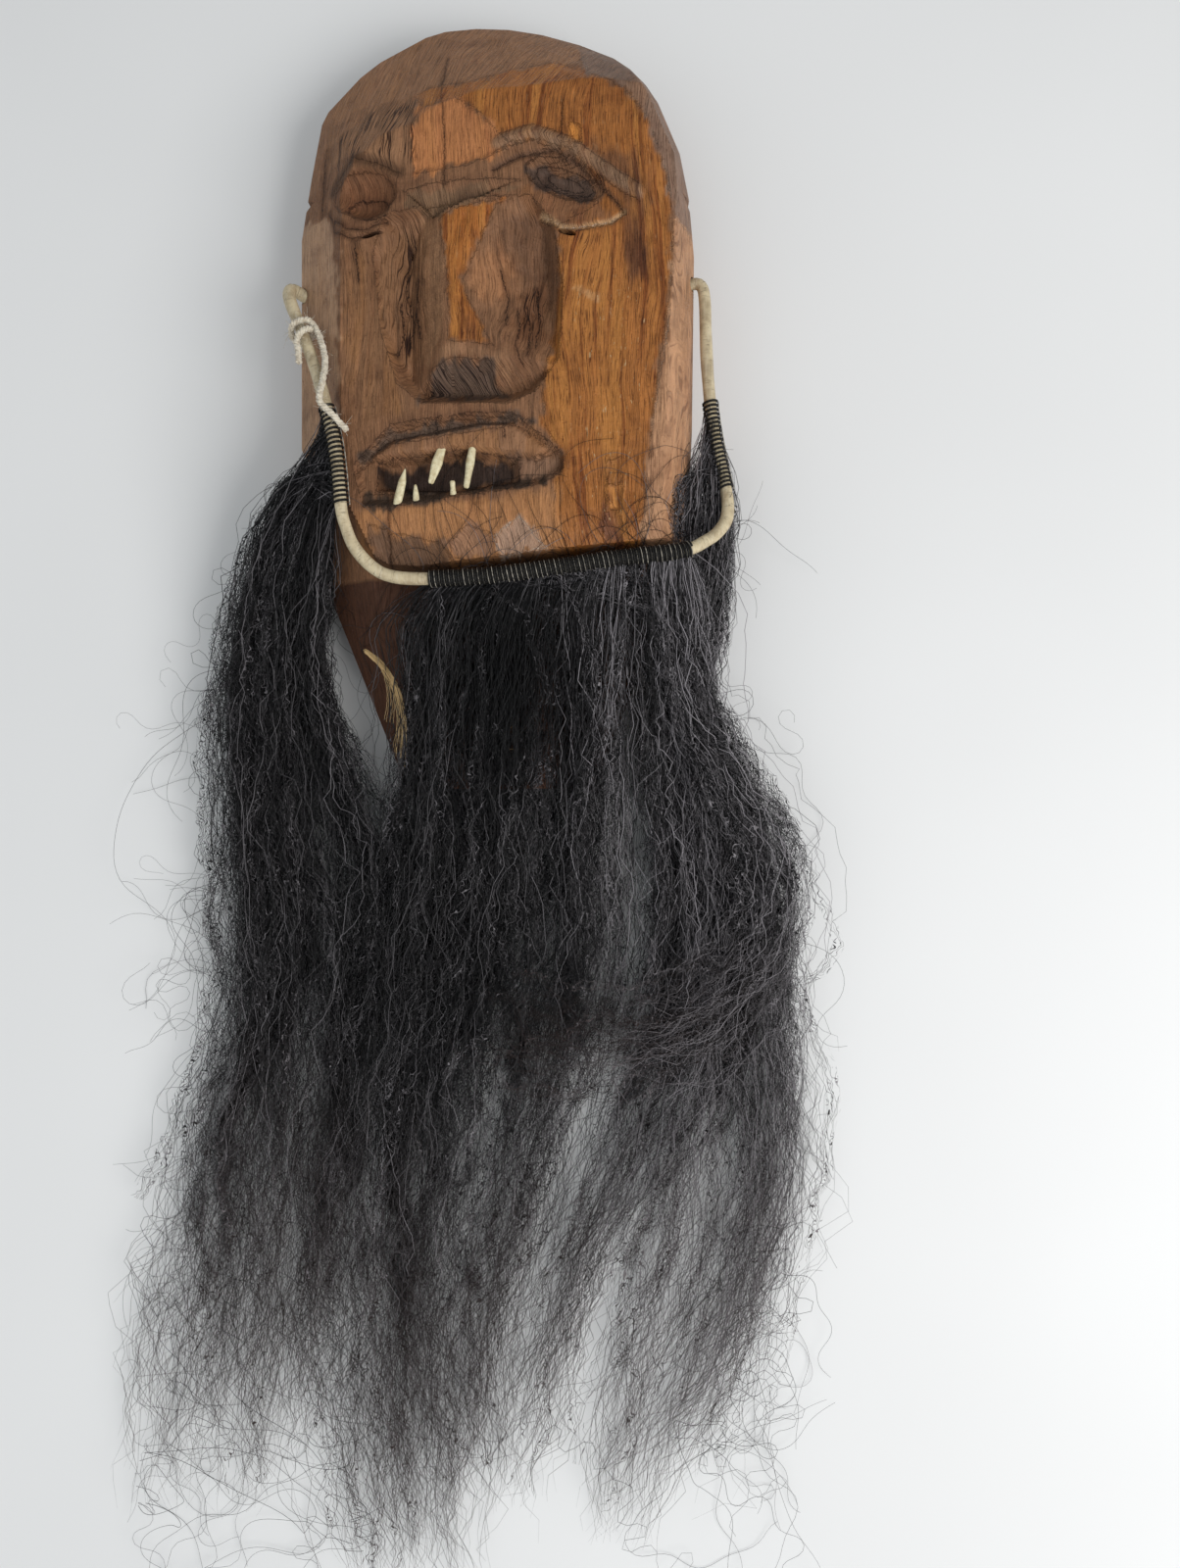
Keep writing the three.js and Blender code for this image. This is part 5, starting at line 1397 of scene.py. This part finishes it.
# The chin's locks are tied in the order in which they lie, over this stretch of x.
CHIN_TIE_LEFT = -40
CHIN_TIE_WIDTH = 118
CHIN_TIE_SPREAD = 110
fewer = 1
for hank, locks in LOCKS.items():
    rng = np.random.default_rng(HANK_SEEDS[hank])
    for title, kind in KINDS.items():
        paths, along, tones_and_light = [], [], []
        for lock in locks:
            share, short = share_of(lock), 0.30 if hank == "chin" else 0.18
            if lock is CURL:
                share, short = share * (0 if title == "under" else 0.6), 0.0
            count = int(kind["count"] * share / fewer) + 2
            strand, t, root_share, distance = grown(lock, ROOTS[hank], count, rng, kind, short)
            if hank == "chin":
                left, right = ROOTS[hank]
                root_x = lock[0][0] + (root_share - (left + right) / 2) * CHIN_TIE_SPREAD
                tied = np.clip((root_x - CHIN_TIE_LEFT) / CHIN_TIE_WIDTH, 0, 1)
                root_share = left + tied * (right - left)
            paths.append(kept_near(rooted(strand, root_share, distance, rng)))
            along.append(t)
            # A random tone times lit(): painted light and shade on the hair.
            tones_and_light.append(rng.beta(1.0, 2.5, count)[:, None] * lit(paths[-1]))
        paths, along, tones_and_light = (np.concatenate(part) for part in (paths, along, tones_and_light))
        taper = np.interp(along, [0, 0.3, 0.6, 1], [1.35, 1.15, 0.85, 0.6])
        radii = STRAND_RADIUS * kind["thick"] * rng.uniform(0.75, 1.25, (len(paths), 1)) * taper
        radii[:, -3:] *= np.array([0.85, 0.6, 0.3])
        hair_pieces(f"hair_{hank}_{title}", paths, radii, {"Tone": tones_and_light, "Tip": along},
                    f"beard_{hank}")

    paths, tips, widths = [], [], []
    for lock in locks:
        count = int(VEILS["count"] * share_of(lock) / fewer) + 1
        strand, t, root_share, distance = grown(lock, ROOTS[hank], count, rng, VEILS, 0.3)
        paths.append(kept_near(rooted(strand, root_share, distance, rng)))
        tips.append(t)
        widths.append(rng.uniform(*VEIL_WIDTHS, (count, 1))
                      * np.interp(t, [0, 0.25, 0.5, 1], [0.3, 1, 1, 0.55]))
    paths, tips, widths = (np.concatenate(part) for part in (paths, tips, widths))
    piece = veils(f"hair_{hank}_veils", paths, widths, rng.normal(0, 0.45, (len(paths), 1)), tips)
    piece.data.materials.append(veil)
    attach(piece, "root")
    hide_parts(f"beard_{hank}")

# Single hairs have worked loose: long curling ones along the beard's edges, and short ones that lie
# over the chin.
LOOSE_STEPS = 46
LOOSE_RADIUS = 0.12
LOOSE_MARGIN = 34
# The lock that they leave, to which side, and how many do.
EDGES = [("left", 0, -1, 96), ("right", 1, 1, 44), ("left", 1, -1, 16), ("right", 0, 1, 10),
         ("left", 2, 1, 26), ("chin", 0, -1, 16), ("chin", 0, -1, 8), ("chin", 3, 1, 8)]
OVER_CHIN = 70
rng = np.random.default_rng(71)
flights = []
for hank, lock, outward, count in EDGES:
    stations = smooth_path(LOCKS[hank][lock], LOCK_STEPS)
    for start in rng.beta(1.3, 1.1, count):
        x, y, z, half_width, half_thick = stations[int(start * (LOCK_STEPS - 2))]
        run = np.linspace(0, rng.uniform(70, 210), LOOSE_STEPS)
        step = run[1]
        bend = sum(rng.normal(0, 0.75) * np.sin(run / wave + rng.uniform(0, 6.28))
                   for wave in (30, 17, 9, 5))
        course = -1.57 + outward * rng.uniform(-0.1, 1.1) + bend + rng.normal(0, 0.004) * run
        path_x = x + outward * half_width * rng.uniform(0.2, 0.9) + np.cumsum(np.cos(course)) * step
        path_y = y + np.cumsum(np.sin(course)) * step
        path_z = z * np.exp(-run / 40) + rng.uniform(1, 9) * (1.1 + np.sin(run / 33 + rng.uniform(0, 6)))
        flights.append(np.stack([path_x, path_y, path_z], 1))
for start in rng.uniform(0.40, 0.70, OVER_CHIN):
    place = sampled(cane_path, start * (len(cane_path) - 1))
    run = np.linspace(0, rng.uniform(25, 75), LOOSE_STEPS)
    course = rng.choice([0.5, 2.6]) + rng.normal(0, 0.5) + rng.choice([-1, 1]) * run / rng.uniform(16, 45)
    course = course + 0.3 * np.sin(run / 7 + rng.uniform(0, 6))
    path_x = place[0] + np.cumsum(np.cos(course)) * run[1]
    path_y = place[1] + 2 + np.cumsum(np.sin(course)) * run[1]
    over = ground(path_x, path_y) + 0.6
    flights.append(np.stack([path_x, path_y, np.maximum(over, place[2] * np.exp(-run / 30))], 1))
flights = kept_near(np.array(flights), rng.uniform(0, LOOSE_MARGIN, len(flights)))
even = np.ones(flights.shape[:2])
# Loose hairs get a random tone, and the light grey that it brings is a painted sheen.
hair_pieces("hair_loose", flights, even * LOOSE_RADIUS * np.linspace(1, 0.6, LOOSE_STEPS),
            {"Tone": rng.beta(1.4, 3.2, (len(flights), 1)) * even, "Tip": even * 0.5}, "beard_left")

# A wisp of straw-coloured hair is caught at the left of the chin's hank, where it lies on the neck's
# wood. A few bits of the same lie in the black hair.
WISP = [(-56, -32, 40), (-46, -41, 41), (-40, -53, 41), (-38.5, -66, 38), (-40, -78, 34)]
CRUMBS = [(5, -66, 38), (8, -74, 37), (62, 8, 40)]
STRAW_HAIRS = 30
STRAW_STEPS = 46
STRAW_RADIUS = 0.16
straw, straw_shader, wire = new_finish("straw_hair", Roughness=0.5)
connect(straw_shader, object_mm(wire).noise(0.3, 2.0).mix((0.72, 0.52, 0.26, 1), (0.42, 0.28, 0.12, 1)),
        "Base Color")
rng = np.random.default_rng(72)
line = smooth_path(WISP, STRAW_STEPS)
wisps = []
for number in range(STRAW_HAIRS):
    reach = rng.uniform(0.6, 1.0)
    spread = np.linspace(0.3, 1, STRAW_STEPS)[:, None] ** 1.5 * rng.normal(0, 1, 3) * (2.0, 2.2, 1.0)
    points = line[0] + (line - line[0]) * reach + spread
    wisps.append(points + rng.normal(0, 0.08, points.shape))
for place in CRUMBS:
    way = rng.normal(0, 1, 3) * (1, 1, 0.2)
    wisps.append(np.array(place) + np.linspace(-2.5, 2.5, STRAW_STEPS)[:, None] * way)
wisps = np.array(wisps)
wisps[..., 2] = np.maximum(wisps[..., 2], ground(wisps[..., 0], wisps[..., 1]) + 1.2)
wisp = tubes("hair_straw", wisps, STRAW_RADIUS * np.linspace(1, 0.5, STRAW_STEPS), STRAND_SIDES)
wisp.data.materials.append(straw)
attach(wisp, "root")
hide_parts("beard_chin")
